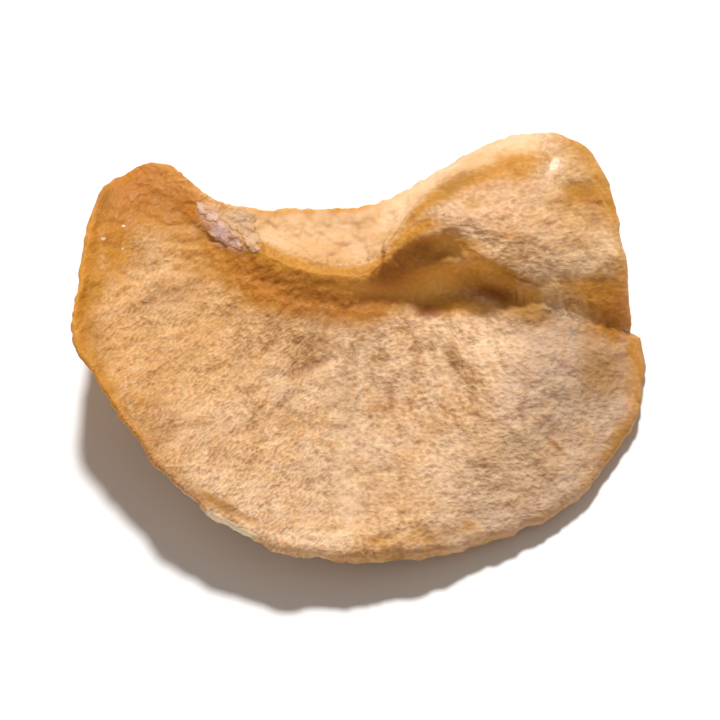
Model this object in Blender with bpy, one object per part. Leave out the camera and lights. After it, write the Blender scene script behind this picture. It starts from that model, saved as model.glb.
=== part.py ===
"""A thick slice of dried apple: a warped half disc with its core scooped out and one horn folded over.

The slice is drawn on a board that an eye looks at squarely from above and in front.
A place on the board is right and up of the centre of the round rim, in millimetres.
Every place carries two heights over the floor: that of the cut face and that of the underside.
The surfaces meet along the outline, so that the slice is one closed body.
Ribs cross the slice from its round rim to the scooped side: over the face, up the lip and over the far part.
Blender's frame has +Z up, and the eye stands on the -Y side.
"""

import math
from dataclasses import dataclass

import bmesh
import bpy
import numpy as np

MM = 0.001

# The eye
EYE_ELEVATION = math.radians(55.0)
EYE_DISTANCE = 297.0

# Stations along the slice, from the end of the left horn to the slit at the right.
# Each has its share of the way, the direction of its rim point from the centre in degrees,
# then the foot of the lip, the ridge of the lip and the far outline, each right and up,
# then the height of the ridge over the foot and the height of the far outline over the floor.
STATIONS = (
    (0.00, 161.0, -22.6, 12.5, -21.5, 12.9, -20.6, 13.0, 0.1, 11.4),
    (0.10, 182.0, -20.2, 8.4, -18.8, 9.8, -17.9, 10.9, 0.4, 11.5),
    (0.20, 203.0, -17.3, 5.0, -15.5, 6.9, -14.9, 8.7, 1.2, 11.6),
    (0.30, 224.0, -13.4, 1.4, -11.5, 4.0, -11.4, 7.6, 1.8, 11.8),
    (0.40, 245.0, -8.7, -1.7, -7.4, 1.8, -7.4, 7.6, 2.1, 12.0),
    (0.50, 266.0, -3.7, -2.8, -3.2, 0.8, -3.4, 7.6, 2.3, 12.1),
    (0.58, 281.0, 0.9, -2.6, 0.7, 0.8, 0.4, 7.8, 2.7, 12.3),
    (0.66, 296.0, 4.8, -1.0, 3.0, 2.5, 4.0, 9.1, 4.0, 13.0),
    (0.74, 309.0, 8.8, 0.6, 8.6, 4.5, 8.9, 11.9, 5.4, 14.0),
    (0.82, 321.0, 13.4, 0.4, 13.3, 3.7, 14.6, 14.8, 4.6, 14.2),
    (0.88, 331.0, 18.0, -1.2, 17.7, 0.8, 18.8, 15.6, 2.0, 13.3),
    (0.94, 341.0, 23.6, -4.0, 23.4, -3.5, 22.8, 14.6, 0.6, 11.4),
    (1.00, 348.5, 28.2, -5.4, 28.3, -4.9, 25.8, 11.7, 0.5, 9.2),
)
SHARE, RIM_TURN, FOOT_X, FOOT_UP, RIDGE_X, RIDGE_UP, FAR_X, FAR_UP, LIP_RISE, FAR_HEIGHT = range(10)

# Outline of the rim: swells and hollows as centre and width in degrees, then millimetres
RIM_RADIUS = 28.5
RIM_SWELLS = (
    (328.0, 40.0, 3.8),
    (191.0, 12.0, 1.7),
    (177.0, 7.0, -0.5),
)
SLIT_TURN = (337.0, 352.0)
SLIT_CUT = 1.7
HORN_TURN = (170.0, 200.0)
HORN_SWELL = 0.7
RIM_WAVES = ((23.0, 0.0, 0.10), (41.0, 1.0, 0.07))
HORN_ROUND = 0.42
LOBE_ROUND = 0.15
FAR_BOW = 0.42

# Heights of the cut face over the floor
DISH_LEVEL = 5.4
NOTCH_RISE = 4.2
NOTCH_REACH = 9.0
LEFT_SLOPE = 0.2
LEFT_FROM = 4.0
RIGHT_SWELL = 3.0
RIGHT_SWELL_PLACE = (17.5, -9.0)
RIGHT_SWELL_REACH = (8.0, 11.0)
RIM_LEVEL = 4.9
RIM_SLOPE = 0.15
RIM_UPTURN = 0.0042
RIM_LOWEST = 2.4
ROLL_WIDTH = 10.0
EDGE_WIDTH = 3.0
EDGE_STEEPNESS = 2.2

# Dents of the cut face: right, up, reach sideways, reach upward, depth
DENTS = (
    (-6.0, -8.0, 2.6, 3.4, 0.45),
    (3.0, -12.5, 2.8, 2.4, 0.35),
    (9.0, -9.0, 2.4, 4.0, 0.40),
    (-14.0, -4.0, 3.5, 3.0, 0.30),
    (-20.0, -10.0, 4.0, 2.6, 0.25),
    (12.0, -20.0, 3.0, 3.0, 0.30),
    (-22.0, 3.0, 2.4, 4.0, 0.35),
    (-2.0, -21.0, 5.0, 2.2, 0.25),
)
FOLD_DEPTH = 0.06

# Folds of the lobe and the hollow under it: right, up, reach along, reach across, slant in degrees, rise
LOBE_FOLDS = (
    (10.2, 2.0, 3.0, 1.2, 22.0, 0.9),
    (7.8, 4.1, 3.4, 1.0, 24.0, -0.45),
    (10.8, 7.0, 3.6, 1.5, -8.0, 0.40),
    (17.8, 4.4, 5.0, 1.6, -20.0, 0.40),
    (17.0, 8.2, 6.5, 1.1, -14.0, -0.30),
    (15.7, 12.4, 1.6, 1.1, 10.0, -0.35),
    (23.0, 9.6, 1.8, 1.2, -10.0, -0.45),
    (20.4, 12.0, 1.8, 1.4, 0.0, 0.30),
)

# Lobe and scooped wall
SCOOP_DEPTH = 0.4
STRIP_SLOPE = 1.0
CREST_START = (2.7, 2.4)
CREST_RISE = 10.9
CREST_REACH = 4.6
LOBE_CROWN = 1.6
LOBE_SWELL = 1.2
RIDGE_ROUND = 1.15
LOBE_RIDGE_ROUND = 1.6

# Flesh
RIM_THICKNESS = 2.3
BELLY_THICKNESS = 6.2
CORE_THICKNESS = 9.6
THICKENING = 6.0
CORE_REACH = 7.0
HORN_THICKNESS = 4.5
HORN_TIP_THICKNESS = 3.0
LOBE_THICKNESS = 4.2
LIP_HOLLOW = 0.45
EDGE_ROUND = 1.2
HORN_TAPER = 2.6
CORE_EDGE = 0.48
RIM_EDGE_LEVEL = 0.5
HORN_EDGE_LEVEL = 0.8
FOOT_PRESS = 0.6

# Mesh: counts of steps, and distances of the first rows and ribs from the outline
RIBS = 64
FACE_ROWS = 16
LIP_ROWS = 5
FAR_ROWS = 11
LENGTH = 80.0
END_RIBS = (0.2, 0.6, 1.2, 2.2)
EDGE_ROWS = (0.0, 0.25, 0.7)
EDGE_START = 1.4
SHORT_RIB = 6.0

# Looks
FLESH_COLOUR = (0.73, 0.44, 0.22, 1.0)
FLESH_ROUGHNESS = 0.62


@dataclass
class Board:
    """Places of the grid. Every array has one row for each rib.

    share is the rib's share of the way along the slice. face, lip and far run from 0 to 1 over the
    cut face, over the lip and over the far part, and stay at 0 before and at 1 behind.
    """

    share: np.ndarray
    face: np.ndarray
    lip: np.ndarray
    far: np.ndarray
    x: np.ndarray
    up: np.ndarray


def smooth_step(value, low, high):
    """0 below low, 1 above high, and a smooth rise between them."""
    t = np.clip((value - low) / (high - low), 0.0, 1.0)
    return t * t * (3.0 - 2.0 * t)


def soft_ramp(value, softness):
    """0 for values well under zero, the value itself well over it, with a round bend between."""
    return softness * np.logaddexp(0.0, value / softness)


def hump(value, centre, width):
    """A smooth bell of height 1 at the centre."""
    return np.exp(-(((value - centre) / width) ** 2))


def blend(first, second, part):
    """The first value at part 0, the second at part 1."""
    return first + (second - first) * part


def station_curve(column, share):
    """A smooth curve through one column of the stations."""
    table = np.array(STATIONS)
    x, y = table[:, SHARE], table[:, column]
    slope = np.gradient(y, x)
    k = np.clip(np.searchsorted(x, share) - 1, 0, len(x) - 2)
    step = x[k + 1] - x[k]
    t = (share - x[k]) / step
    start = y[k] + step * slope[k] * t * (1.0 - t) ** 2 + (y[k + 1] - y[k]) * t * t * (3.0 - 2.0 * t)
    return start - step * slope[k + 1] * t * t * (1.0 - t)


def rim_point(turn_degrees):
    """Place of the rim in a direction from the centre."""
    turn = np.radians(turn_degrees)
    radius = RIM_RADIUS - SLIT_CUT * smooth_step(turn_degrees, *SLIT_TURN)
    radius = radius + HORN_SWELL * (1.0 - smooth_step(turn_degrees, *HORN_TURN))
    for centre, width, swell in RIM_SWELLS:
        radius = radius + swell * hump(turn_degrees, centre, width)
    for waves, start, size in RIM_WAVES:
        radius = radius + size * np.sin(turn * waves + start)
    return radius * np.cos(turn), radius * np.sin(turn)


def rib_shares(count):
    """Shares of the ribs along the slice, with extra ribs close to both ends for round edges."""
    close = np.array(END_RIBS) / LENGTH
    middle = np.linspace(close[-1], 1.0 - close[-1], count - 2 * (len(close) - 1) + 1)
    return np.concatenate([[0.0], close[:-1], middle, 1.0 - close[:-1][::-1], [1.0]])[:, None]


def edge_rows(length, count):
    """Parts of each rib's length from 0 to 1, with the first rows close together for a round edge."""
    shorten = np.minimum(1.0, length / SHORT_RIB)
    close = np.array(EDGE_ROWS)[None, :] * shorten
    start = EDGE_START * shorten
    rest = start + (length - start) * np.linspace(0.0, 1.0, count - 1)[None, :]
    return np.concatenate([close, rest], axis=1) / length


def round_corners(share, x, up):
    """Draws the first and last ribs in towards their middles, so that the outline turns without a corner."""
    left = np.clip(1.0 - share / 0.05, 0.0, 1.0)
    right = np.clip((share - 0.955) / 0.045, 0.0, 1.0)
    pull = 1.0 - HORN_ROUND * (1.0 - np.sqrt(1.0 - left**2)) - LOBE_ROUND * (1.0 - np.sqrt(1.0 - right**2))
    anchor = np.where(share < 0.5, 0.5, 0.06)
    anchor_x = blend(x[:, :1], x[:, -1:], anchor)
    anchor_up = blend(up[:, :1], up[:, -1:], anchor)
    return anchor_x + (x - anchor_x) * pull, anchor_up + (up - anchor_up) * pull


def board_grid(rib_count, face_rows, lip_rows, far_rows):
    """The grid's places on the board."""
    share = rib_shares(rib_count)
    rim_x, rim_up = rim_point(station_curve(RIM_TURN, share))
    foot_x, foot_up = station_curve(FOOT_X, share), station_curve(FOOT_UP, share)
    ridge_x, ridge_up = station_curve(RIDGE_X, share), station_curve(RIDGE_UP, share)
    far_x, far_up = station_curve(FAR_X, share), station_curve(FAR_UP, share)
    face = edge_rows(np.hypot(foot_x - rim_x, foot_up - rim_up), face_rows)
    lip = np.linspace(0.0, 1.0, lip_rows + 1)[None, 1:] + 0.0 * share
    far = 1.0 - edge_rows(np.hypot(far_x - ridge_x, far_up - ridge_up), far_rows)[:, -2::-1]
    bow = FAR_BOW * smooth_step(share, 0.84, 1.0) * 4.0 * far * (1.0 - far)
    x = [blend(rim_x, foot_x, face), blend(foot_x, ridge_x, lip), blend(ridge_x, far_x, far) + bow]
    up = [blend(rim_up, foot_up, face), blend(foot_up, ridge_up, lip), blend(ridge_up, far_up, far)]
    x, up = round_corners(share, np.concatenate(x, axis=1), np.concatenate(up, axis=1))
    parts = (
        (face, np.ones_like(lip), np.ones_like(far)),
        (np.zeros_like(face), lip, np.ones_like(far)),
        (np.zeros_like(face), np.zeros_like(lip), far),
    )
    face, lip, far = (np.concatenate(part, axis=1) for part in parts)
    return Board(share + 0.0 * x, face, lip, far, x, up)


def rim_height(x):
    """Height of the rim's upper edge over the floor: high at the left, on the floor at the right."""
    rise = RIM_LEVEL - RIM_SLOPE * x + RIM_UPTURN * np.minimum(x, 0.0) ** 2
    return RIM_LOWEST + soft_ramp(rise - RIM_LOWEST, 0.6)


def rim_gap(x, up):
    """Distance of a place from the rim, along the line to the centre."""
    rim_x, rim_up = rim_point(np.degrees(np.arctan2(up, x)) % 360.0)
    return np.maximum(np.hypot(rim_x, rim_up) - np.hypot(x, up), 0.0)


def dents(x, up):
    """Shallow dents and radial folds of the cut face, left by drying."""
    turn, radius = np.arctan2(up, x), np.hypot(x, up)
    folds = np.sin(turn * 13.0 + 0.8) * (1.0 + 0.7 * np.sin(turn * 5.0 + 1.1))
    folds = folds + 0.6 * np.sin(turn * 21.0 + 2.1 + 0.06 * radius)
    relief = FOLD_DEPTH * folds * smooth_step(radius, 6.0, 20.0)
    for dent_x, dent_up, reach_x, reach_up, depth in DENTS:
        relief = relief - depth * hump(x, dent_x, reach_x) * hump(up, dent_up, reach_up)
    return relief


def lobe_folds(x, up):
    """Soft folds of the lobe and of the hollow under its edge."""
    relief = np.zeros_like(x)
    for fold_x, fold_up, along, across, slant, rise in LOBE_FOLDS:
        turn = math.radians(slant)
        way = (x - fold_x) * math.cos(turn) + (up - fold_up) * math.sin(turn)
        aside = (up - fold_up) * math.cos(turn) - (x - fold_x) * math.sin(turn)
        relief = relief + rise * hump(way, 0.0, along) * hump(aside, 0.0, across)
    return relief


def face_height(x, up, foot_gap):
    """Height of the cut face. foot_gap is the distance to the foot of the lip."""
    gap = rim_gap(x, up)
    rise = NOTCH_RISE * (0.5 + 0.5 * smooth_step(x, -19.0, -5.0))
    dish = DISH_LEVEL + rise * np.exp(-foot_gap / NOTCH_REACH) + LEFT_SLOPE * soft_ramp(-x - LEFT_FROM, 3.0)
    swell = hump(x, RIGHT_SWELL_PLACE[0], RIGHT_SWELL_REACH[0]) * hump(up, RIGHT_SWELL_PLACE[1], RIGHT_SWELL_REACH[1])
    dish = dish + RIGHT_SWELL * swell
    width = blend(EDGE_WIDTH, ROLL_WIDTH, smooth_step(x, 2.0, 18.0))
    edge = np.exp(-EDGE_STEEPNESS * gap / width)
    roll = soft_ramp(1.0 - gap / width, 0.12)
    return blend(dish, rim_height(x), blend(edge, roll, smooth_step(x, 4.0, 16.0))) + dents(x, up)


def crest_up(x):
    """Where the lobe's crest runs on the board, right of the lip."""
    return CREST_START[1] + CREST_RISE * (1.0 - np.exp(-np.maximum(x - CREST_START[0], 0.0) / CREST_REACH))


def core_block(share):
    """1 where the flesh round the core stands on the floor, falling to 0 towards both horns."""
    return smooth_step(share, 0.06, 0.42) * (1.0 - smooth_step(share, 0.70, 0.98))


def at_foot(board, values):
    """Each rib's value at the foot of its lip."""
    return np.take_along_axis(values, np.argmax(board.face >= 1.0, axis=1)[:, None], axis=1)


def upper_surface(board, base):
    """Heights of the lip and of the far part over the face's level at the foot, and the ridge's height."""
    share, far = board.share, board.far
    ridge = station_curve(LIP_RISE, share)
    soft_lip = smooth_step(board.lip, 0.0, RIDGE_ROUND) / smooth_step(1.0, 0.0, RIDGE_ROUND)
    round_lip = 1.0 - (1.0 - board.lip) ** LOBE_RIDGE_ROUND
    rise = ridge * blend(soft_lip, round_lip, smooth_step(share, 0.62, 0.74))
    top = at_foot(board, base) + ridge
    lobe = smooth_step(share, 0.60, 0.74)
    crown = LOBE_CROWN * hump(share, 0.93, 0.10) * np.sin(np.pi * far**0.8) + LOBE_SWELL * lobe * np.sin(np.pi * far)
    scoop = SCOOP_DEPTH * smooth_step(share, 0.05, 0.3) * (1.0 - lobe) * 4.0 * far * (1.0 - far)
    strip = STRIP_SLOPE * soft_ramp(board.up - crest_up(board.x), 0.3) * lobe * (1.0 - smooth_step(share, 0.82, 0.9))
    upper = blend(top, station_curve(FAR_HEIGHT, share), far) + crown - scoop - strip * (far > 0.0)
    front = np.where(far > 0.0, upper, base + rise) + lobe_folds(board.x, board.up)
    return front, upper, top


def lower_surface(board, base, upper, top, near_x, near_up, foot_gap):
    """Heights of the underside: a belly under the face, a block round the core and thin horns."""
    share, far = board.share, board.far
    block = core_block(share)
    horn = blend(HORN_TIP_THICKNESS, HORN_THICKNESS, smooth_step(share, 0.0, 0.2))
    belly = blend(horn, BELLY_THICKNESS, smooth_step(share, 0.08, 0.34))
    thick = blend(RIM_THICKNESS, belly, 1.0 - np.exp(-rim_gap(near_x, near_up) / THICKENING))
    thick = thick + (CORE_THICKNESS - BELLY_THICKNESS) * block * np.exp(-foot_gap / CORE_REACH)
    below_face = base - thick
    foot_below = at_foot(board, below_face)
    sheet = blend(horn, LOBE_THICKNESS, smooth_step(share, 0.4, 0.6))
    hollow = LIP_HOLLOW * (1.0 - block) * (top - sheet - foot_below)
    sheet = blend(foot_below + hollow, upper - sheet, smooth_step(far, 0.0, 0.35))
    far_back = blend(sheet, blend(foot_below, upper, far), block)
    back = np.where(far > 0.0, far_back, np.where(board.lip > 0.0, foot_below + hollow * board.lip, below_face))
    return np.maximum(back - FOOT_PRESS, 0.0)


def heights(board):
    """Heights of the cut face and of the underside at every place of the grid."""
    on_face = board.face < 1.0
    foot_x, foot_up = station_curve(FOOT_X, board.share), station_curve(FOOT_UP, board.share)
    foot_gap = np.hypot(board.x - foot_x, board.up - foot_up) * on_face
    near_x, near_up = np.where(on_face, board.x, foot_x), np.where(on_face, board.up, foot_up)
    base = face_height(near_x, near_up, foot_gap)
    front, upper, top = upper_surface(board, base)
    back = lower_surface(board, base, upper, top, near_x, near_up, foot_gap)
    return front, back


def edge_share(board, horn_width):
    """0 on the outline, 1 inside it, with the profile of a rounded edge between.

    horn_width is the width of the rounding along the far sides and the ends of both horns.
    """
    x, up = board.x, board.up
    from_rim = np.hypot(x - x[:, :1], up - up[:, :1])
    from_far = np.hypot(x - x[:, -1:], up - up[:, -1:])
    from_start = np.hypot(x - x[:1], up - up[:1])
    from_end = np.hypot(x - x[-1:], up - up[-1:])
    far_width = blend(horn_width, CORE_EDGE, core_block(board.share))
    near = np.minimum(np.minimum(from_rim / EDGE_ROUND, from_far / far_width), 1.0)
    near = np.minimum(near, np.minimum(from_start / horn_width, from_end / EDGE_ROUND))
    return np.sqrt(1.0 - (1.0 - near) ** 2)


def edge_level(board):
    """Part of the thickness at which the outline runs: half-way at the rim, higher along the horns."""
    from_rim = np.hypot(board.x - board.x[:, :1], board.up - board.up[:, :1])
    from_far = np.hypot(board.x - board.x[:, -1:], board.up - board.up[:, -1:])
    back = from_rim / (from_rim + from_far) * (1.0 - core_block(board.share))
    return blend(RIM_EDGE_LEVEL, HORN_EDGE_LEVEL, back)


def to_world(x, up, height):
    """Places on the board with their heights, turned into Blender's frame in millimetres."""
    sine, cosine = math.sin(EYE_ELEVATION), math.cos(EYE_ELEVATION)
    depth = (height - up * cosine) / (sine - up * cosine / EYE_DISTANCE)
    nearer = 1.0 - depth / EYE_DISTANCE
    return np.stack([x * nearer, up * nearer * sine - depth * cosine, height], axis=-1)


def on_outline(i, j, ribs, rows):
    """True for a place of the grid's border."""
    return i in (0, ribs - 1) or j in (0, rows - 1)


def slice_mesh(rib_count, face_rows, lip_rows, far_rows):
    """Points and faces of the whole slice, in millimetres."""
    board = board_grid(rib_count, face_rows, lip_rows, far_rows)
    front, back = heights(board)
    middle = blend(back, front, edge_level(board))
    upper = to_world(board.x, board.up, blend(middle, front, edge_share(board, EDGE_ROUND)))
    lower = to_world(board.x, board.up, blend(middle, back, edge_share(board, HORN_TAPER)))
    ribs, rows = board.x.shape
    index_up = np.arange(ribs * rows).reshape(ribs, rows)
    index_low = index_up.copy()
    points = list(upper.reshape(-1, 3))
    for i in range(ribs):
        for j in range(rows):
            if not on_outline(i, j, ribs, rows):
                index_low[i, j] = len(points)
                points.append(lower[i, j])
    faces = []
    for i in range(ribs - 1):
        for j in range(rows - 1):
            corners = ((i, j), (i + 1, j), (i + 1, j + 1), (i, j + 1))
            faces.append([int(index_up[c]) for c in corners])
            faces.append([int(index_low[c]) for c in reversed(corners)])
    return np.array(points), faces


def flesh_material():
    """Dry, pale tan apple flesh."""
    material = bpy.data.materials.new("dried_apple")
    material.use_nodes = True
    shader = material.node_tree.nodes["Principled BSDF"]
    shader.inputs["Base Color"].default_value = FLESH_COLOUR
    shader.inputs["Roughness"].default_value = FLESH_ROUGHNESS
    shader.inputs["Metallic"].default_value = 0.0
    return material


def build():
    """Makes the slice's object, standing on the floor with its box centred over the zero point."""
    for old in list(bpy.data.objects):
        bpy.data.objects.remove(old)
    points, faces = slice_mesh(RIBS, FACE_ROWS, LIP_ROWS, FAR_ROWS)
    low, high = points.min(axis=0), points.max(axis=0)
    points = points - np.array([0.5 * (low[0] + high[0]), 0.5 * (low[1] + high[1]), low[2]])
    mesh = bpy.data.meshes.new("apple_slice")
    mesh.from_pydata((points * MM).tolist(), [], faces)
    work = bmesh.new()
    work.from_mesh(mesh)
    bmesh.ops.recalc_face_normals(work, faces=work.faces)
    work.to_mesh(mesh)
    work.free()
    mesh.shade_smooth()
    mesh.materials.append(flesh_material())
    slice_object = bpy.data.objects.new("apple_slice", mesh)
    bpy.context.collection.objects.link(slice_object)
    return slice_object


build()
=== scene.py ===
"""Looks of a thick slice of dried apple: leathery pale flesh with amber rims and one folded horn.

The slice is drawn on a board that the camera looks at squarely. A place on the board is right and up of
the centre of the round rim, in millimetres, and carries a height of the cut face and one of the underside.
"""
from __future__ import annotations

import logging
import math
from dataclasses import dataclass, field
from enum import Enum
from typing import Sequence, Union

import bmesh
import bpy
import numpy as np
from mathutils import Matrix, Vector
from mathutils.bvhtree import BVHTree


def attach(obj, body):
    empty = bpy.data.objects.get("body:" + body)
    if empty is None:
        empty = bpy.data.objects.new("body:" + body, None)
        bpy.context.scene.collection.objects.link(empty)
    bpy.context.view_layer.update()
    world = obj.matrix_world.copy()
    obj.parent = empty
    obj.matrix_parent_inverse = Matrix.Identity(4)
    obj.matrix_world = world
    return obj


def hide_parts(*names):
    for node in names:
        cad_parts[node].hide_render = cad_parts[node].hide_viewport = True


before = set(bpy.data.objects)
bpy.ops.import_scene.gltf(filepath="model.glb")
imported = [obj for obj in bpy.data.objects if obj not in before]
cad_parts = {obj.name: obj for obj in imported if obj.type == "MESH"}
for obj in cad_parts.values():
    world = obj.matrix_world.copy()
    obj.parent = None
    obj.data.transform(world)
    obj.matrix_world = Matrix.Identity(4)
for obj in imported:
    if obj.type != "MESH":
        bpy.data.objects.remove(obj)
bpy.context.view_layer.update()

LOG = logging.getLogger("dried_apple")
NODE = "apple_slice"
BODY = "root"
MM = 0.001
Array = np.ndarray
Pair = tuple[float, float]
Triple = tuple[float, float, float]
Span = tuple[float, float, float, float]
Colour = tuple[float, float, float, float]
Places = tuple[Array, Array]
Number = Union[float, "Wire"]
BLACK: Colour = (0.0, 0.0, 0.0, 1.0)


def link(name: str, data: bpy.types.ID) -> bpy.types.Object:
    """Makes an object.

    Args:
        name: the object's name.
        data: its data.

    Returns:
        The object, which is in the scene.
    """
    made = bpy.data.objects.new(name, data)
    bpy.context.collection.objects.link(made)
    return made


def write_values(mesh: bpy.types.Mesh, name: str, values: Array) -> None:
    """Writes one attribute.

    Args:
        mesh: where it goes.
        name: its name.
        values: a number for each point, or three columns for a vector.
    """
    kind, key = ("FLOAT", "value") if values.ndim == 1 else ("FLOAT_VECTOR", "vector")
    flat = values.astype(np.float32).reshape(-1)
    mesh.attributes.new(name, kind, "POINT").data.foreach_set(key, flat)


def tone(red: int, green: int, blue: int) -> Colour:
    """A tone given in display steps.

    Args:
        red: red, from 0 to 255.
        green: green.
        blue: blue.

    Returns:
        The linear colour.
    """
    steps = np.array([red, green, blue]) / 255.0
    linear = np.where(steps <= 0.04045, steps / 12.92, ((steps + 0.055) / 1.055) ** 2.4)
    return (float(linear[0]), float(linear[1]), float(linear[2]), 1.0)


def smooth_step(value: Array, low: float, high: float) -> Array:
    """0 below low, 1 above high, and a smooth rise between them."""
    t = np.clip((value - low) / (high - low), 0.0, 1.0)
    return t * t * (3.0 - 2.0 * t)


def span(value: Array, start: float, full: float, fade: float, end: float) -> Array:
    """A smooth rise from start to full and a smooth fall from fade to end."""
    return smooth_step(value, start, full) * (1.0 - smooth_step(value, fade, end))


def soft_ramp(value: Array, softness: float) -> Array:
    """0 for values well under zero, the value itself well over it, with a round bend between."""
    return softness * np.logaddexp(0.0, value / softness)


def hump(value: Array, centre: float, width: float) -> Array:
    """A smooth bell of height 1 at the centre."""
    return np.exp(-(((value - centre) / width) ** 2))


def blend(first: Array, second: Array, part: Array) -> Array:
    """The first value at part 0, the second at part 1."""
    return first + (second - first) * part


def turn_of(x: Array, up: Array) -> Array:
    """Direction of a place from the rim's centre, from 0 to 360 degrees."""
    return np.degrees(np.arctan2(up, x)) % 360.0


@dataclass(frozen=True)
class Patch:
    """A soft oval on the board: its middle, its reach along and across its slant, and its strength."""

    x: float
    up: float
    along: float
    across: float
    slant: float
    strength: float

    def on(self, x: Array, up: Array) -> Array:
        """Strength of the patch.

        Args:
            x: places to the right.
            up: places upwards.

        Returns:
            The strength at these places.
        """
        turn = math.radians(self.slant)
        way = (x - self.x) * math.cos(turn) + (up - self.up) * math.sin(turn)
        aside = (up - self.up) * math.cos(turn) - (x - self.x) * math.sin(turn)
        return self.strength * hump(way, 0.0, self.along) * hump(aside, 0.0, self.across)


def ovals(*rows: tuple[float, ...]) -> tuple[Patch, ...]:
    """Patches from rows of their middle, reach along and across, slant and strength."""
    return tuple(Patch(*row) for row in rows)


def patches(kinds: Sequence[Patch], x: Array, up: Array) -> Array:
    """Sum of several patches at places on the board."""
    return sum((patch.on(x, up) for patch in kinds), np.zeros_like(x))


@dataclass(frozen=True)
class RimGroove:
    """A shallow groove that follows the rim, with a paler lip outside it that is partly a painted highlight.
    Turns in degrees, lengths in mm.
    """

    turns: Pair
    gap: float
    width: float
    depth: float
    stain: float
    lip: float
    fade: float = 6.0
    lip_share: float = 0.4

    def window(self, turn: Array) -> Array:
        """1 between the groove's ends, fading over a few degrees."""
        start, end = self.turns
        return span(turn, start, start + self.fade, end - self.fade, end)

    def on(self, turn: Array, gap: Array) -> Array:
        """1 at the bottom of the groove."""
        return hump(gap, self.gap, self.width) * self.window(turn)

    def outside(self, turn: Array, gap: Array) -> Array:
        """1 on the lip between the groove and the rim."""
        return (1.0 - smooth_step(gap, self.lip_share * self.gap, self.gap)) * self.window(turn)


class Mark(Enum):
    """Named places that every rib passes."""

    FOOT = "foot"
    RIDGE = "ridge"
    FAR = "far"


class Mask(Enum):
    """The flesh's masks: the attribute's name, and whether it keeps off the underside."""

    AMBER = ("amber", False)
    DEEP = ("deep", True)
    # Dark stains, and painted shade under the lobe.
    BROWN = ("brown", True)
    PALE = ("pale", True)
    GREY = ("grey", True)
    WARM = ("warm", False)
    ROSY = ("rosy", True)
    # Lighter flesh, partly painted highlight and painted light.
    BRIGHT = ("bright", True)
    OLIVE = ("olive", True)
    LILAC = ("lilac", True)
    # Painted light: emission that lightens the shaded hollow under the lobe.
    GLOW = ("glow", True)

    def __init__(self, label: str, front_only: bool) -> None:
        """Keeps the attribute's name and the side."""
        self.label = label
        self.front_only = front_only


@dataclass
class Board:
    """Places of the grid. Every array has one row for each rib.

    share is the rib's share of the way along the slice. face, lip and far run from 0 to 1 over the
    cut face, over the lip and over the far part, and stay at 0 before and at 1 behind.
    """

    share: Array
    face: Array
    lip: Array
    far: Array
    x: Array
    up: Array

    @property
    def on_face(self) -> Array:
        """True on the cut face, before the foot of the lip."""
        return self.face < 1.0

    @property
    def turn(self) -> Array:
        """Direction of each place from the rim's centre, in degrees."""
        return turn_of(self.x, self.up)

    def away(self, x: Array, up: Array) -> Array:
        """Distance of each place from another."""
        return np.hypot(self.x - x, self.up - up)

    @property
    def from_rim(self) -> Array:
        """Distance from the rib's end on the rim."""
        return self.away(self.x[:, :1], self.up[:, :1])

    @property
    def from_far(self) -> Array:
        """Distance from the rib's far end."""
        return self.away(self.x[:, -1:], self.up[:, -1:])


@dataclass(frozen=True)
class GridSize:
    """Counts of steps along the slice and over its three parts."""

    ribs: int
    face: int
    lip: int
    far: int


@dataclass(frozen=True)
class Station:
    """Where one rib runs: its share of the way, its places on the board and its two free heights."""

    share: float
    rim_turn: float
    foot: Pair
    ridge: Pair
    far: Pair
    lip_rise: float
    far_height: float


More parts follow.
